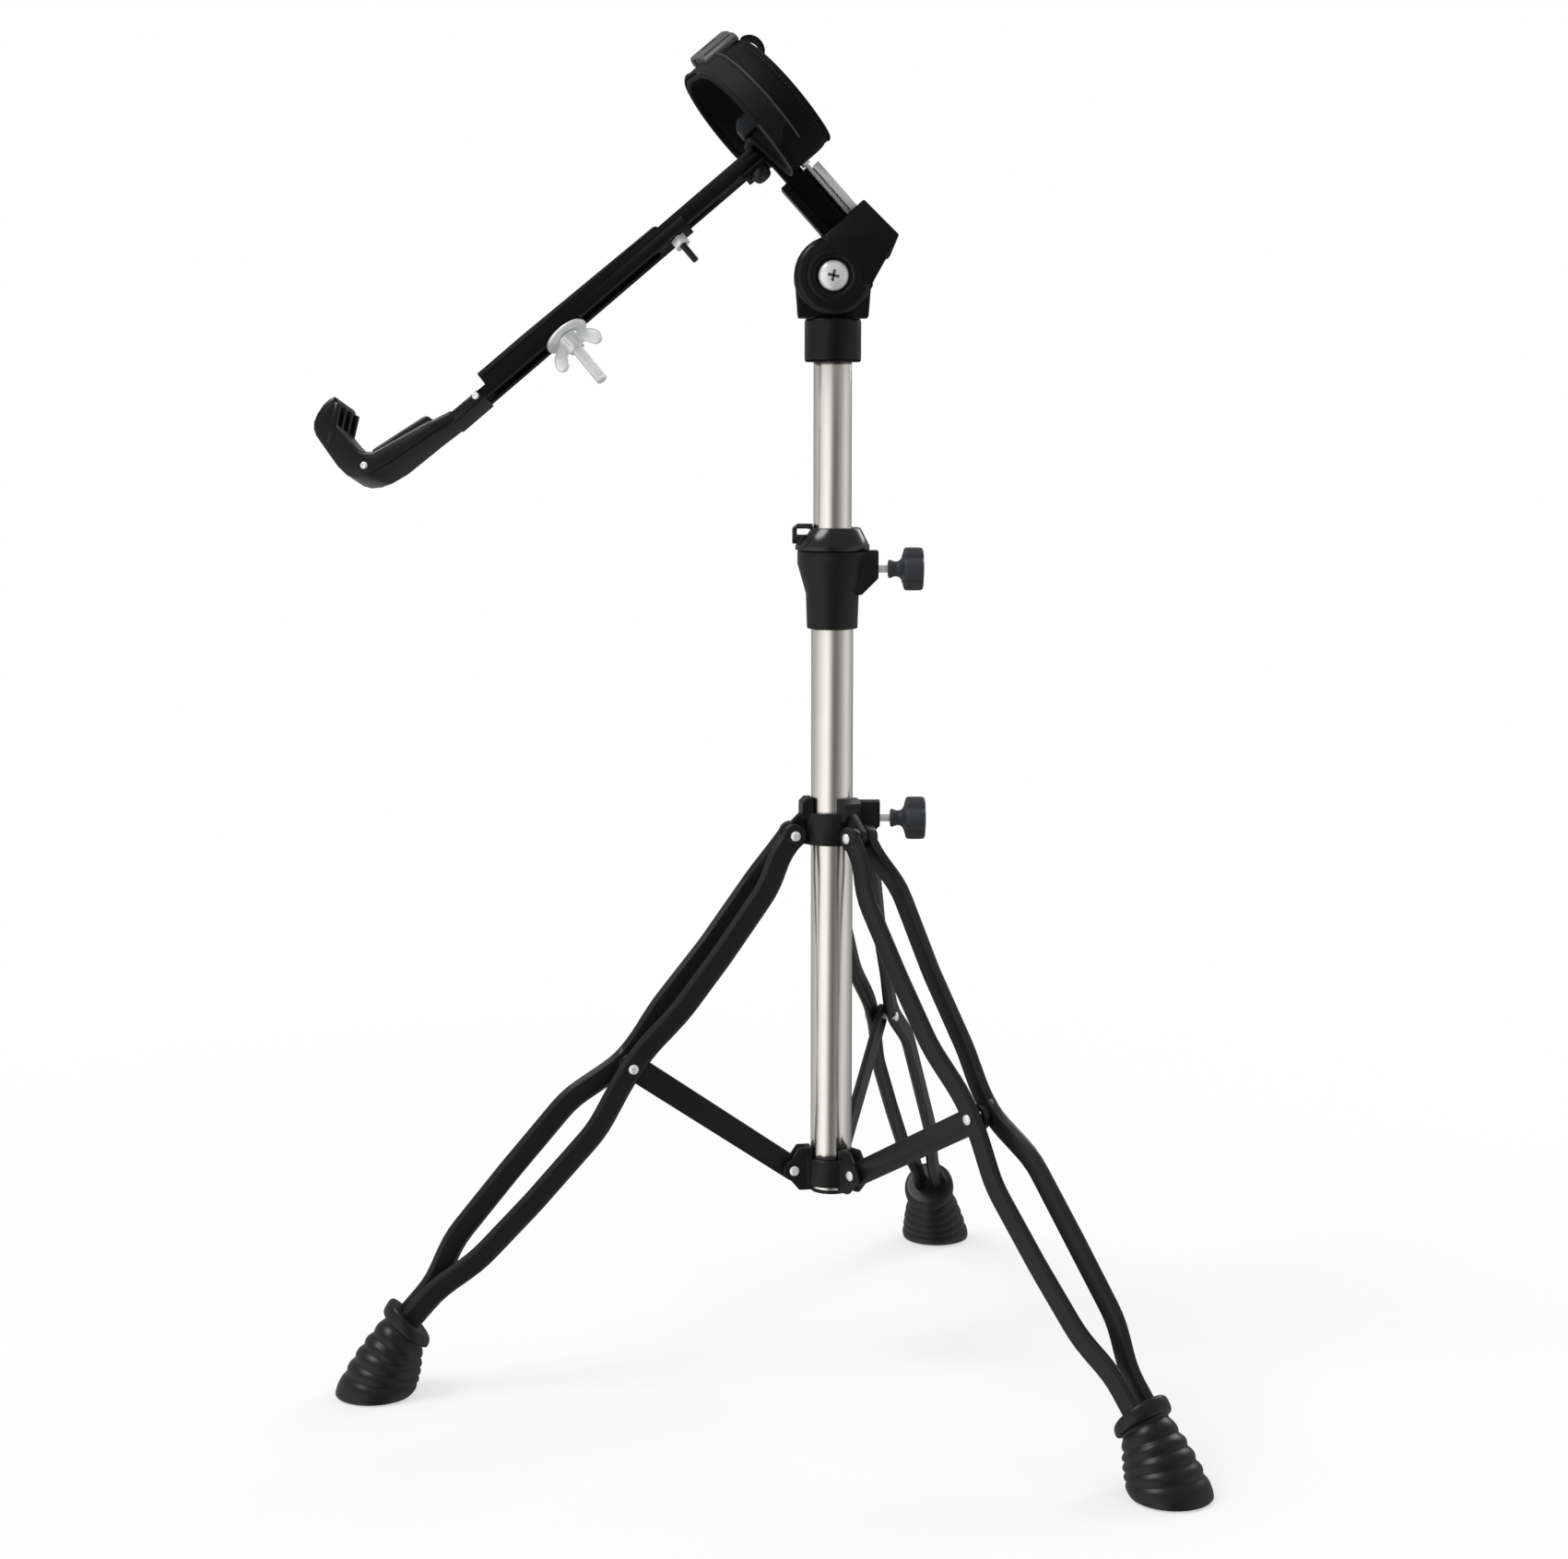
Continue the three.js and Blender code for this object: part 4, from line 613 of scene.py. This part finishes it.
def boot(side):
    leg = legs[side]
    pivot, entry = (Vector((p[0], 0, p[1])) for p in (leg["pivot"], leg["entry"]))
    top = entry + (entry - pivot).normalized() * boot_top_past_entry
    sole = Vector((sole_reach, 0, 0))
    around = 40
    rings = []
    for along, share in boot_shares:
        middle = top.lerp(sole, along)
        lean = math.radians(boot_lean) * (1 - along)
        rings.append([
            middle + Vector((math.cos(a) * math.cos(lean), math.sin(a), math.cos(a) * math.sin(lean)))
            * (sole_radius * share)
            for a in (2 * math.pi * j / around for j in range(around))
        ])
    obj = refined(lofted(f"boot_{side}", rings))
    for vertex in obj.data.vertices:
        vertex.co.z = max(vertex.co.z, 0)
    return installed(smooth(obj, 60), leg["frame"], f"leg_{side}", black_rubber, [f"foot_{side}"])


for side in sides:
    boot(side)


# Tilter screw: a pan head with a cross recess
def tilt_screw():
    seat, tail = -16.9, 19
    shank, head, crown = 4, 8.8, 3.4
    top = seat - crown
    profile = [
        (0, top), (3.4, top + 0.1), (6.2, top + 0.75), (7.9, top + 1.7),
        (head, seat - 0.9), (head, seat), (shank, seat), (shank, tail), (0, tail),
    ]
    obj = turned("tilt_screw", profile, 56)
    long, wide, floor, bed_depth, bed_rise = 3.4, 0.85, top + 1.9, 0.9, 0.4
    cross = []
    for turn in (12, 102):
        slot = box_piece("slot", (-long, -wide, top - 2), (long, wide, floor))
        carved(obj, turned_about(slot, "Z", turn))
        bed = box_piece("bed", (-long, -wide, floor - bed_depth), (long, wide, floor + bed_rise), 0.2, 2)
        cross.append(turned_about(bed, "Z", turn))
    # The beds at the bottom of the cross get the dark zinc: painted shade in the recess.
    recess = joined("tilt_screw_recess_shade", *cross)
    for piece, finish, replaced in ((smooth(obj, 30), bright_zinc, ["tilt_bolt"]), (recess, recess_shade_zinc, ())):
        shifted(turned_about(piece, "X", -90), 0, 0, tilt_axis_height)
        installed(piece, mast_frame, "head", finish, replaced)


tilt_screw()


def screw_surround():
    """A low raised ring on the casting's near cheek, round the recess of the screw."""
    inner, outer, face, rise = 11.6, 15.2, 19.2, 0.55
    section = [
        (inner, face - 1), (inner, face + rise * 0.5), (inner + 0.5, face + rise),
        (outer - 0.9, face + rise), (outer, face + 0.1), (outer, face - 1),
    ]
    obj = turned_about(turned("screw_surround", section, 64, ring=True), "X", 90)
    shifted(obj, 0, 0, tilt_axis_height)
    return installed(smooth(obj, 40), mast_frame, "head", casting)


screw_surround()


# Wing bolt: a threaded stud through the arm's slot
wing_place = -130.5
thread_depth = 0.38


def thread_profile(radius, start, end, pitch):
    points = []
    z = start
    while z < end - pitch:
        points += [(radius, z), (radius - thread_depth, z + pitch / 2)]
        z += pitch
    return points


def wing_bolt():
    tip, thread_end, head_low, head_top, head_radius, radius = -39.5, -2, 2.1, 5.1, 4, 3.45
    profile = [
        (0, tip), (radius - 0.9, tip), *thread_profile(radius, tip + 0.7, thread_end, 1.0),
        (radius, thread_end), (radius, head_low), (head_radius, head_low), (head_radius, head_top),
        (0, head_top),
    ]
    obj = shifted(turned("wing_stud", profile, 32), wing_place)
    return installed(smooth(obj, 25), arm_frame, "head", bright_zinc, ["wing_bolt"])


wing_bolt()

hub_section = [
    (3.6, -4.25), (6.6, -4.25), (6.6, -5.6), (6.0, -6.6), (5.8, -9.6), (5.2, -13.4), (4.8, -14.2),
    (3.6, -14.2),
]
ear_outline = [
    (3.2, -4.8), (7.2, -5.2), (11.0, -6.9), (14.6, -9.8), (16.7, -13.4), (17.0, -16.8), (15.4, -19.4),
    (12.6, -20.1), (10.0, -18.6), (8.3, -15.6), (6.8, -12.8), (3.2, -11.8),
]
ear_root, ear_span, ear_half_thickness, ear_taper = 3.2, 14, 1.6, 0.25
hub_ridges = 8


def wing_nut():
    """A ridged hub with two flared ears."""
    hub = turned("hub", hub_section, 40, ring=True)
    ears = []
    for side in (1, -1):
        outline = [(x * side, z) for x, z in ear_outline]
        ear = slab(f"ear_{side}", outline, -ear_half_thickness, ear_half_thickness)
        for vertex in ear.data.vertices:
            vertex.co.y *= 1 - ear_taper * min(1, (abs(vertex.co.x) - ear_root) / ear_span)
        ears.append(rounded(ear, 1.05, 3, 40))
    ridges = []
    for step in range(hub_ridges):
        ridge = box_piece(f"ridge_{step}", (4.6, -0.5, -11.5), (6.5, 0.5, -5.4), 0.35, 2)
        ridges.append(turned_about(ridge, "Z", 360 / hub_ridges * (step + 0.5)))
    obj = shifted(joined("winged_nut", hub, *ears, *ridges), wing_place)
    return installed(smooth(obj, 40), arm_frame, "wing", bright_zinc, ["wing_nut"])


wing_nut()


# Rubber hook: side outline, its half width by the distance along the arm, ribs on the lip
hook_outline = [
    (-211, -2.6), (-230, -0.4), (-258, 1.8), (-269, 4.2), (-276, 7.0), (-281, 10.6), (-284, 15), (-285, 23),
    (-284.6, 35), (-284, 47), (-282.8, 51), (-280, 54.6), (-275, 57.4), (-269, 59.2), (-264.5, 59.6),
    (-260.6, 58.6), (-259.6, 56.6), (-260.6, 54.4), (-265.6, 50.6), (-270.4, 46), (-270.4, 38), (-269.8, 30),
    (-268.6, 22), (-266.8, 18.6), (-263, 15.4), (-244, 12.2), (-226, 9.2), (-222.5, 7.6), (-211, 5.2),
]
hook_half_widths = ([-300, -266, -224, -211], [16, 16, 11.4, 9.7])
hook_pad_outline = [
    (-265.5, 14.6), (-262.5, 17.4), (-244, 15.6), (-226.4, 13.8), (-224.2, 12.2), (-223.6, 7.2), (-244, 10),
]
hook_pad_half_widths = ([-266, -224], [13.4, 9.2])
lip_ribs = 4
lip_rib_width = 3


def widened(name, outline, half_widths):
    """A slab whose half width changes with the distance along the arm."""
    obj = slab(name, outline, -1, 1)
    for vertex in obj.data.vertices:
        half = float(np.interp(vertex.co.x, *half_widths))
        vertex.co.y = math.copysign(half, vertex.co.y)
    return obj


def rubber_hook():
    hook = rounded(widened("rubber_hook", hook_outline, hook_half_widths), 1.9, 3, 50)
    ribs = []
    foot_x, foot_z, head_x, head_z = -271, 46, -260.4, 54.8
    rise = math.degrees(math.atan2(head_z - foot_z, head_x - foot_x))
    lip_half_width = hook_half_widths[1][0]
    for i in range(lip_ribs):
        y = -lip_half_width + i * (2 * lip_half_width - lip_rib_width) / (lip_ribs - 1)
        rib = box_piece(f"rib_{i}", (-14, y, -2.4), (12.6, y + lip_rib_width, 1.9), 0.9, 2)
        turned_about(rib, "Y", -rise)
        ribs.append(shifted(rib, foot_x, 0, foot_z))
    pad = rounded(widened("pad", hook_pad_outline, hook_pad_half_widths), 1.1, 3, 30)
    sleeve = box_piece("sleeve", (-216, -9.7, -2.9), (-191, 9.7, 4.3), 1.2, 3)
    carved(sleeve, box_piece("channel", (-211, -8.05, -1.85), (-180, 8.05, 9)))
    obj = joined("rubber_hook", hook, pad, sleeve, *ribs)
    return installed(smooth(obj, 45), arm_frame, "hook", grip_rubber, ["hook_rubber"])


rubber_hook()


def hook_screws():
    """Pan heads that pin the rubber to the bar, at the bend and on the sleeve, on both sides."""
    profile = [(0, 0.1), (0.6, 0.15), (0.8, 0.6), (1.4, 0.7), (2.0, 0.4), (2.2, 0), (2.2, -1.2), (0, -1.2)]
    for side, end in ((-1, "near"), (1, "far")):
        for x, y, z, place in ((-272, 16.1, 11.6, "bend"), (-194.5, 9.75, 1.6, "sleeve")):
            obj = turned(f"hook_pin_{place}_{end}", profile, 24)
            turned_about(obj, "X", -side * 90)
            shifted(obj, x, side * y, z)
            installed(smooth(obj, 35), arm_frame, "hook", bright_zinc)


hook_screws()


# Strap: the padded band's outline, from its top, as shares of the half span and the height
strap = {"half_span": 66, "top": 65, "bottom": 11.6, "thickness": 4.6, "half_width": 16}
far_shares = [
    (0.34, 1.05), (0.66, 1), (0.9, 0.76), (1, 0.4), (0.95, 0.05), (0.8, -0.16), (0.6, -0.18), (0.42, -0.1),
    (0.26, -0.01), (0.13, 0),
]
near_shares = [
    (0.13, 0), (0.22, -0.03), (0.34, -0.17), (0.48, -0.4), (0.65, -0.57), (0.83, -0.53), (0.96, -0.28),
    (1, 0.08), (0.9, 0.47), (0.66, 0.78), (0.34, 0.93),
]
steps_between_knots = 30


def loop_line(count):
    """Evenly spaced [y, z] points of the loop and their outward normals."""
    height = strap["top"] - strap["bottom"]
    shares = [(0, 1), *far_shares, (0, 0), *((-y, z) for y, z in near_shares)]
    knots = np.array([(y * strap["half_span"], strap["bottom"] + z * height) for y, z in shares])
    fine = []
    total = len(knots)
    for i in range(total):
        p0, p1, p2, p3 = (knots[(i + k) % total] for k in (-1, 0, 1, 2))
        d0, d1, d2 = (max(np.linalg.norm(b - a), 1e-6) ** 0.5 for a, b in ((p0, p1), (p1, p2), (p2, p3)))
        t1 = ((p1 - p0) / d0 - (p2 - p0) / (d0 + d1) + (p2 - p1) / d1) * d1
        t2 = ((p2 - p1) / d1 - (p3 - p1) / (d1 + d2) + (p3 - p2) / d2) * d1
        for t in np.linspace(0, 1, steps_between_knots, endpoint=False):
            square_term = 3 * (p2 - p1) - 2 * t1 - t2
            cube_term = 2 * (p1 - p2) + t1 + t2
            fine.append(p1 + t1 * t + square_term * t ** 2 + cube_term * t ** 3)
    fine = np.array(fine + [fine[0]])
    reach = np.concatenate([[0], np.cumsum(np.linalg.norm(np.diff(fine, axis=0), axis=1))])
    at = np.arange(count) / count * reach[-1]
    points = np.stack([np.interp(at, reach, fine[:, k]) for k in (0, 1)], axis=1)
    forward = np.roll(points, -1, axis=0) - np.roll(points, 1, axis=0)
    forward /= np.linalg.norm(forward, axis=1)[:, None]
    return points, np.stack([-forward[:, 1], forward[:, 0]], axis=1), reach[-1]


band_section = [
    (-16, -2.3), (-15.8, -1.1), (-14.9, -0.35), (-13.9, -0.5), (-13.0, -1.35), (-12.4, -1.5), (-11.6, -0.95),
    (-9.5, -0.1), (-5, 0.25), (0, 0.3), (5, 0.25), (9.5, -0.1), (11.6, -0.95), (12.4, -1.5), (13.0, -1.35),
    (13.9, -0.5), (14.9, -0.35), (15.8, -1.1),
]


def section_rings(section, points, normals, inner_depth=None):
    """Rings of a strap's section, [across, off the line] points, carried along the loop."""
    if inner_depth is not None:
        inner = [(-x, -inner_depth - z) for x, z in section]
        section = section + inner
    return [[(x, p[0] + n[0] * z, p[1] + n[1] * z) for x, z in section] for p, n in zip(points, normals)]


def map_threads(obj, rings, length, thread_size):
    """A UV map along and across a strap, one unit to each thread."""
    around = len(rings[0])
    step = length / len(rings)
    reach = [0]
    for a, b in zip(rings[0], rings[0][1:]):
        reach.append(reach[-1] + (Vector(b) - Vector(a)).length)
    layer = obj.data.uv_layers.new(name="threads")
    for polygon in obj.data.polygons:
        indices = [obj.data.loops[i].vertex_index for i in polygon.loop_indices]
        rows = [i // around for i in indices]
        columns = [i % around for i in indices]
        wrap_row = max(rows) - min(rows) > 1
        wrap_column = max(columns) - min(columns) > 1
        for loop, row, column in zip(polygon.loop_indices, rows, columns):
            u = (row + (len(rings) if wrap_row and row == 0 else 0)) * step
            v = reach[column] if not (wrap_column and column == 0) else reach[-1] + 1
            layer.data[loop].uv = (u / thread_size, v / thread_size)
    return obj


tape_thread, band_thread = 1.25, 0.9
stations = 200
band_points, band_normals, band_length = loop_line(stations)


def strap_band():
    rings = section_rings(band_section, band_points, band_normals, strap["thickness"])
    obj = lofted("padded_band", rings, closed=True)
    map_threads(obj, rings, band_length, band_thread)
    refined(obj)
    installed(smooth(obj, 60), strap_frame, "head", band_cloth, ["strap_band"])
    return obj


def stitch_row(across, depth, pitch=3.0):
    """Small oval stitches along the whole loop, on its outer face."""
    half_length, half_width, around = 1.05, 0.32, 6
    side = Vector((1, 0, 0))
    halves = []
    count = int(band_length / pitch)
    for i in range(count):
        place = (i + 0.5) / count * stations
        low = int(place) % stations
        mix = place - int(place)
        point = band_points[low] * (1 - mix) + band_points[(low + 1) % stations] * mix
        normal = band_normals[low]
        forward = Vector((0, normal[1], -normal[0]))
        up = Vector((0, normal[0], normal[1]))
        centre = Vector((across, point[0], point[1])) + up * depth
        for end in (-1, 1):
            halves.append([
                centre + forward * (end * half_length * along)
                + (side * math.cos(a) + up * math.sin(a)) * (half_width * share)
                for along, share in ((1, 0.3), (0.6, 1), (0, 1.15))
                for a in (2 * math.pi * k / around for k in range(around))
            ])
    verts = [p for half in halves for p in half]
    faces = []
    for i, half in enumerate(halves):
        base = i * len(half)
        ahead = i % 2
        for low in (base, base + around):
            for k in range(around):
                after = (k + 1) % around
                quad = (low + k, low + after, low + around + after, low + around + k)
                faces.append(quad if ahead else quad[::-1])
        cap = tuple(base + k for k in range(around))
        faces.append(cap[::-1] if ahead else cap)
    return verts, faces


stitch_across, stitch_depth = 12.4, -1.25


def strap_stitching():
    verts, faces = [], []
    for across in (-stitch_across, stitch_across):
        more, quads = stitch_row(across, stitch_depth)
        faces += [tuple(i + len(verts) for i in quad) for quad in quads]
        verts += more
    obj = edit(drawn("band_stitching", verts, (), faces), merge(0.01), outward)
    return installed(smooth(obj, 60), strap_frame, "head", thread)


tape_section = [
    (-7.6, -0.2), (-7.7, 0.9), (-7.1, 1.75), (-6.3, 1.7), (-5.6, 1.15), (-4.9, 1.2), (-2, 1.35), (2, 1.35),
    (5.2, 1.25), (5.8, 1.5), (6.4, 2.3), (7.1, 2.45), (7.7, 1.9), (7.8, 0.9), (7.5, 0.1), (4, -0.1),
    (-4, -0.1),
]
tape_centre = -8.2
tape_from, tape_to = 0.7, 0.28
tape_run_out, tape_sink = 12, 0.35


def strap_tape():
    start, end = round(stations * tape_from), round(stations * tape_to)
    order = [i % stations for i in range(start, stations + end + 1)]
    rings = []
    for i, station in enumerate(order):
        rise = min(1, 0.05 + min(i, len(order) - 1 - i) / tape_run_out)
        section = [(x + tape_centre, z * rise - tape_sink * (1 - rise)) for x, z in tape_section]
        rings += section_rings(section, band_points[[station]], band_normals[[station]])
    obj = lofted("webbing_tape", rings)
    map_threads(obj, rings, band_length * len(rings) / stations, tape_thread)
    refined(obj)
    return installed(smooth(obj, 50), strap_frame, "head", tape_cloth, ["strap_webbing"])


piping_rows = {"tape": (-0.7, 1.75, 0.69, 0.28), "edge": (-14.9, 0.55, 0.6, 0.95)}


def piping(place):
    """A thin rolled cord sewn along the loop's outer face; its pale colour is a painted highlight of the lit
    edge.
    """
    across, lift, first, last = piping_rows[place]
    radius, sides_round, run_out, sink = 0.75, 8, 10, 1.6
    start, end = round(stations * first), round(stations * (last + (1 if last < first else 0)))
    rings = []
    for station in range(start, end + 1):
        edge = min(station - start, end - station) / run_out
        rise = lift - (sink * (1 - edge) ** 2 if edge < 1 else 0)
        section = [
            (across + radius * math.cos(a), rise + radius * math.sin(a))
            for a in (2 * math.pi * k / sides_round for k in range(sides_round))
        ]
        rings += section_rings(section, band_points[[station % stations]], band_normals[[station % stations]])
    obj = lofted(f"piping_{place}", rings)
    return installed(smooth(obj, 60), strap_frame, "head", piping_highlight_cloth)


strap_band()
strap_stitching()
strap_tape()
for place in piping_rows:
    piping(place)


# Side-release buckle on the band's top, with its tape bars
def strap_buckle():
    base, width, x, y, tilt = 63.4, 12.6, 3.5, -7, 12
    housing_outline = [(-4, 0.8), (-4, 5.4), (-2.2, 7.6), (12.5, 7.8), (17, 6.4), (19, 4.2), (19, 0.8)]
    housing = slab("housing", housing_outline, -width, width)
    rounded(housing, 1.1, 3, 30)
    for side in (-1, 1):
        low, high = sorted((side * (width - 2.2), side * (width + 3)))
        carved(housing, box_piece("window", (0, low, 2), (9, high, 6), 0.8, 2))
    carved(housing, box_piece("slit", (13.2, -10, 3.4), (15.4, 10, 12), 0.4, 2))
    clip_outline = [(-19, 0.8), (-19, 3.8), (-16.6, 5.8), (-7.6, 6.8), (-5.2, 6.6), (-5.2, 0.8)]
    clip = slab("clip", clip_outline, -width + 0.6, width - 0.6)
    rounded(clip, 0.9, 3, 30)
    carved(clip, box_piece("slit", (-15.8, -9.6, -1), (-12.4, 9.6, 12), 0.4, 2))
    prongs = []
    for side in (-1, 1):
        y_low, y_high = side * 10.6 - 1.3, side * 10.6 + 1.3
        prongs.append(box_piece(f"prong_{side}", (-6, y_low, 2.6), (8, y_high, 5.4), 0.7, 2))
    ridges = []
    for i in range(3):
        start = 2 + 2.6 * i
        ridges.append(box_piece(f"ridge_{i}", (start, -5, 7.2), (start + 1, 5, 8.2), 0.3, 2))
    obj = joined("side_release_buckle", housing, clip, *prongs, *ridges)
    turned_about(obj, "Z", 90)
    turned_about(obj, "X", tilt)
    shifted(obj, x, y, base)
    return installed(smooth(obj, 35), strap_frame, "head", buckle_plastic, ["strap_buckle"])


strap_buckle()


def keeper_loop():
    """A loop of narrow tape sewn to the band's upper edge."""
    reach, half_height, thickness, y, half_width, centre = 8.0, 8.8, 2.6, -22, 5, 51.5
    steps = 26
    rings = []
    for i in range(steps + 1):
        a = -math.pi / 2 + math.pi * i / steps
        c, s = math.cos(a), math.sin(a)
        rings.append([
            (c * r * reach / half_height, y + w, s * r)
            for r, w in ((half_height, -half_width), (half_height + 0.1, 0), (half_height, half_width),
                         (half_height - thickness, half_width), (half_height - thickness, -half_width))
        ])
    obj = lofted("keeper_tape", rings)
    map_threads(obj, rings, math.pi * reach, tape_thread)
    shifted(obj, strap["half_width"] + 0.3, 0, centre)
    return installed(smooth(obj, 50), strap_frame, "head", tape_cloth, ["strap_keeper"])


keeper_loop()


# Rubber block under the drum's waist
def waist_block():
    base, height, left, right, half, chamfer = 16.5, 11, 24, 60, 13, 3.6
    top = base + height
    outline = [
        (left, base), (left, top - chamfer), (left + chamfer, top), (right - chamfer, top),
        (right, top - chamfer), (right, base),
    ]
    obj = rounded(slab("waist_block", outline, -half, half), 1.5, 3, 30)
    for x in (31, 35.5, 48.5, 53):
        groove = box_piece("groove", (x - 0.8, -half - 2, top - 1.3), (x + 0.8, half + 2, top + 3), 0.3, 2)
        carved(obj, groove)
    well = turned("well", [(0, base + 3.6), (4.9, base + 3.6), (5.3, base + 16), (0, base + 16)], 32)
    carved(obj, shifted(well, strap_offset))
    return installed(smooth(obj, 35), slope_frame, "head", block_rubber, ["waist_pad"])


waist_block()


# Camera: the photograph's place, direction and angle
lens_length, sensor_width = 63.49, 36
camera_offset = Vector((-0.0291, -1.667, 0.585))
camera_dip = 7.40


def set_camera():
    data = bpy.data.cameras.new("camera")
    data.lens = lens_length
    data.sensor_width = sensor_width
    camera = bpy.data.objects.new("camera", data)
    camera.location = mast_axis + camera_offset
    camera.rotation_euler = (math.radians(90 - camera_dip), 0, 0)
    scene.collection.objects.link(camera)
    scene.camera = camera


# Studio: pale floor, white surroundings, and soft boxes seen only in the gloss of metal and paint
glow_by_bearing = [
    (-180, 0.3), (-142, 0.42), (-116, 0.5), (-98, 0.62), (-80, 0.82), (-52, 1.12), (-30, 1.12), (-18, 0.62),
    (-6, 0.22), (8, 0.13), (24, 0.22), (45, 0.4), (64, 0.66), (80, 0.76), (96, 0.6), (118, 0.4), (150, 0.25),
    (180, 0.10),
]
glow_tint = (1, 0.985, 0.96)
overhead_glow = (0.34, 0.34, 0.35, 1)
overhead_from, overhead_to = 0.22, 0.45
surround = (0.7, 0.7, 0.71, 1)
white = (1, 1, 1, 1)


def studio_world():
    world = bpy.data.worlds.new("studio")
    scene.world = world
    world.use_nodes = True
    tree = world.node_tree
    tree.nodes.clear()
    split = tree.nodes.new("ShaderNodeSeparateXYZ")
    tree.links.new(tree.nodes.new("ShaderNodeTexCoord").outputs["Generated"], split.inputs[0])
    ahead = math_node(tree, "MULTIPLY", split.outputs["Y"], -1.0)
    bearing = math_node(tree, "ARCTAN2", split.outputs["X"], ahead)
    place = math_node(tree, "ADD", math_node(tree, "MULTIPLY", bearing, 0.5 / math.pi), 0.5)
    ramp = tree.nodes.new("ShaderNodeValToRGB")
    tree.links.new(place, ramp.inputs["Fac"])
    stops = ramp.color_ramp.elements
    while len(stops) < len(glow_by_bearing):
        stops.new(0.5)
    for stop, (angle, _) in zip(stops, glow_by_bearing):
        stop.position = angle / 360 + 0.5
    for stop, (_, level) in zip(stops, glow_by_bearing):
        stop.color = (*(level * share for share in glow_tint), 1)
    overhead = ranged(tree, split.outputs["Z"], overhead_from, overhead_to, eased=True)
    gloss = color_mix(tree, overhead, ramp.outputs["Color"], overhead_glow)
    path = tree.nodes.new("ShaderNodeLightPath")
    lighting = color_mix(tree, path.outputs["Is Glossy Ray"], surround, gloss)
    seen = color_mix(tree, path.outputs["Is Camera Ray"], lighting, white)
    background = tree.nodes.new("ShaderNodeBackground")
    tree.links.new(seen, background.inputs["Color"])
    output = tree.nodes.new("ShaderNodeOutputWorld")
    tree.links.new(background.outputs[0], output.inputs["Surface"])


# Floor: pale, with the stand's shadow, and plain white further off
floor_size = 14
floor_bounce = (0.5, 0.5, 0.5, 1)
floor_shade = (0.36, 0.36, 0.36, 1)
floor_glow = (0.585, 0.585, 0.585, 1)
fade_from, fade_to = 0.45, 1.1


def plain_shader(tree, kind, color):
    node = tree.nodes.new(kind)
    node.inputs["Color"].default_value = color
    return node.outputs[0]


def combined(tree, kind, *parts):
    """A Mix or Add node over its parts, in the order of its sockets."""
    node = tree.nodes.new(kind)
    for socket, value in zip(node.inputs, parts):
        tree.links.new(value, socket)
    return node.outputs[0]


def studio_floor():
    bpy.ops.object.select_all(action="DESELECT")
    bpy.ops.mesh.primitive_plane_add(size=floor_size, location=(0, 0, 0))
    floor = named(bpy.context.active_object, "studio_floor")
    material = bpy.data.materials.new("white sweep")
    material.use_nodes = True
    tree = material.node_tree
    tree.nodes.clear()
    shade = plain_shader(tree, "ShaderNodeBsdfDiffuse", floor_shade)
    lit = combined(tree, "ShaderNodeAddShader", shade, plain_shader(tree, "ShaderNodeEmission", floor_glow))
    reach = tree.nodes.new("ShaderNodeVectorMath")
    reach.operation = "LENGTH"
    tree.links.new(tree.nodes.new("ShaderNodeTexCoord").outputs["Object"], reach.inputs[0])
    fade = ranged(tree, reach.outputs["Value"], fade_from, fade_to, eased=True)
    seen = combined(tree, "ShaderNodeMixShader", fade, lit, plain_shader(tree, "ShaderNodeEmission", white))
    path = tree.nodes.new("ShaderNodeLightPath")
    bounce = plain_shader(tree, "ShaderNodeBsdfDiffuse", floor_bounce)
    clear = plain_shader(tree, "ShaderNodeBsdfTransparent", white)
    unseen = combined(tree, "ShaderNodeMixShader", path.outputs["Is Glossy Ray"], bounce, clear)
    final = combined(tree, "ShaderNodeMixShader", path.outputs["Is Camera Ray"], unseen, seen)
    output = tree.nodes.new("ShaderNodeOutputMaterial")
    tree.links.new(final, output.inputs["Surface"])
    floor.data.materials.append(material)


def soft_box(name, place, target, size, power):
    data = bpy.data.lights.new(name, "AREA")
    data.shape = "RECTANGLE"
    data.size, data.size_y = size
    data.energy = power
    lamp = bpy.data.objects.new(name, data)
    lamp.location = place
    lamp.rotation_mode = "QUATERNION"
    lamp.rotation_quaternion = (Vector(target) - Vector(place)).to_track_quat("-Z", "Y")
    scene.collection.objects.link(lamp)


set_camera()
studio_world()
studio_floor()
lamp_target = (0, 0, 0.45)
soft_box("key", (-1.5, -0.6, 2.7), lamp_target, (1.1, 1.1), 36)
soft_box("rim", (1.6, 1.3, 1.7), lamp_target, (0.7, 1.4), 16)
scene.view_settings.view_transform = "Standard"

bpy.ops.object.select_all(action="DESELECT")
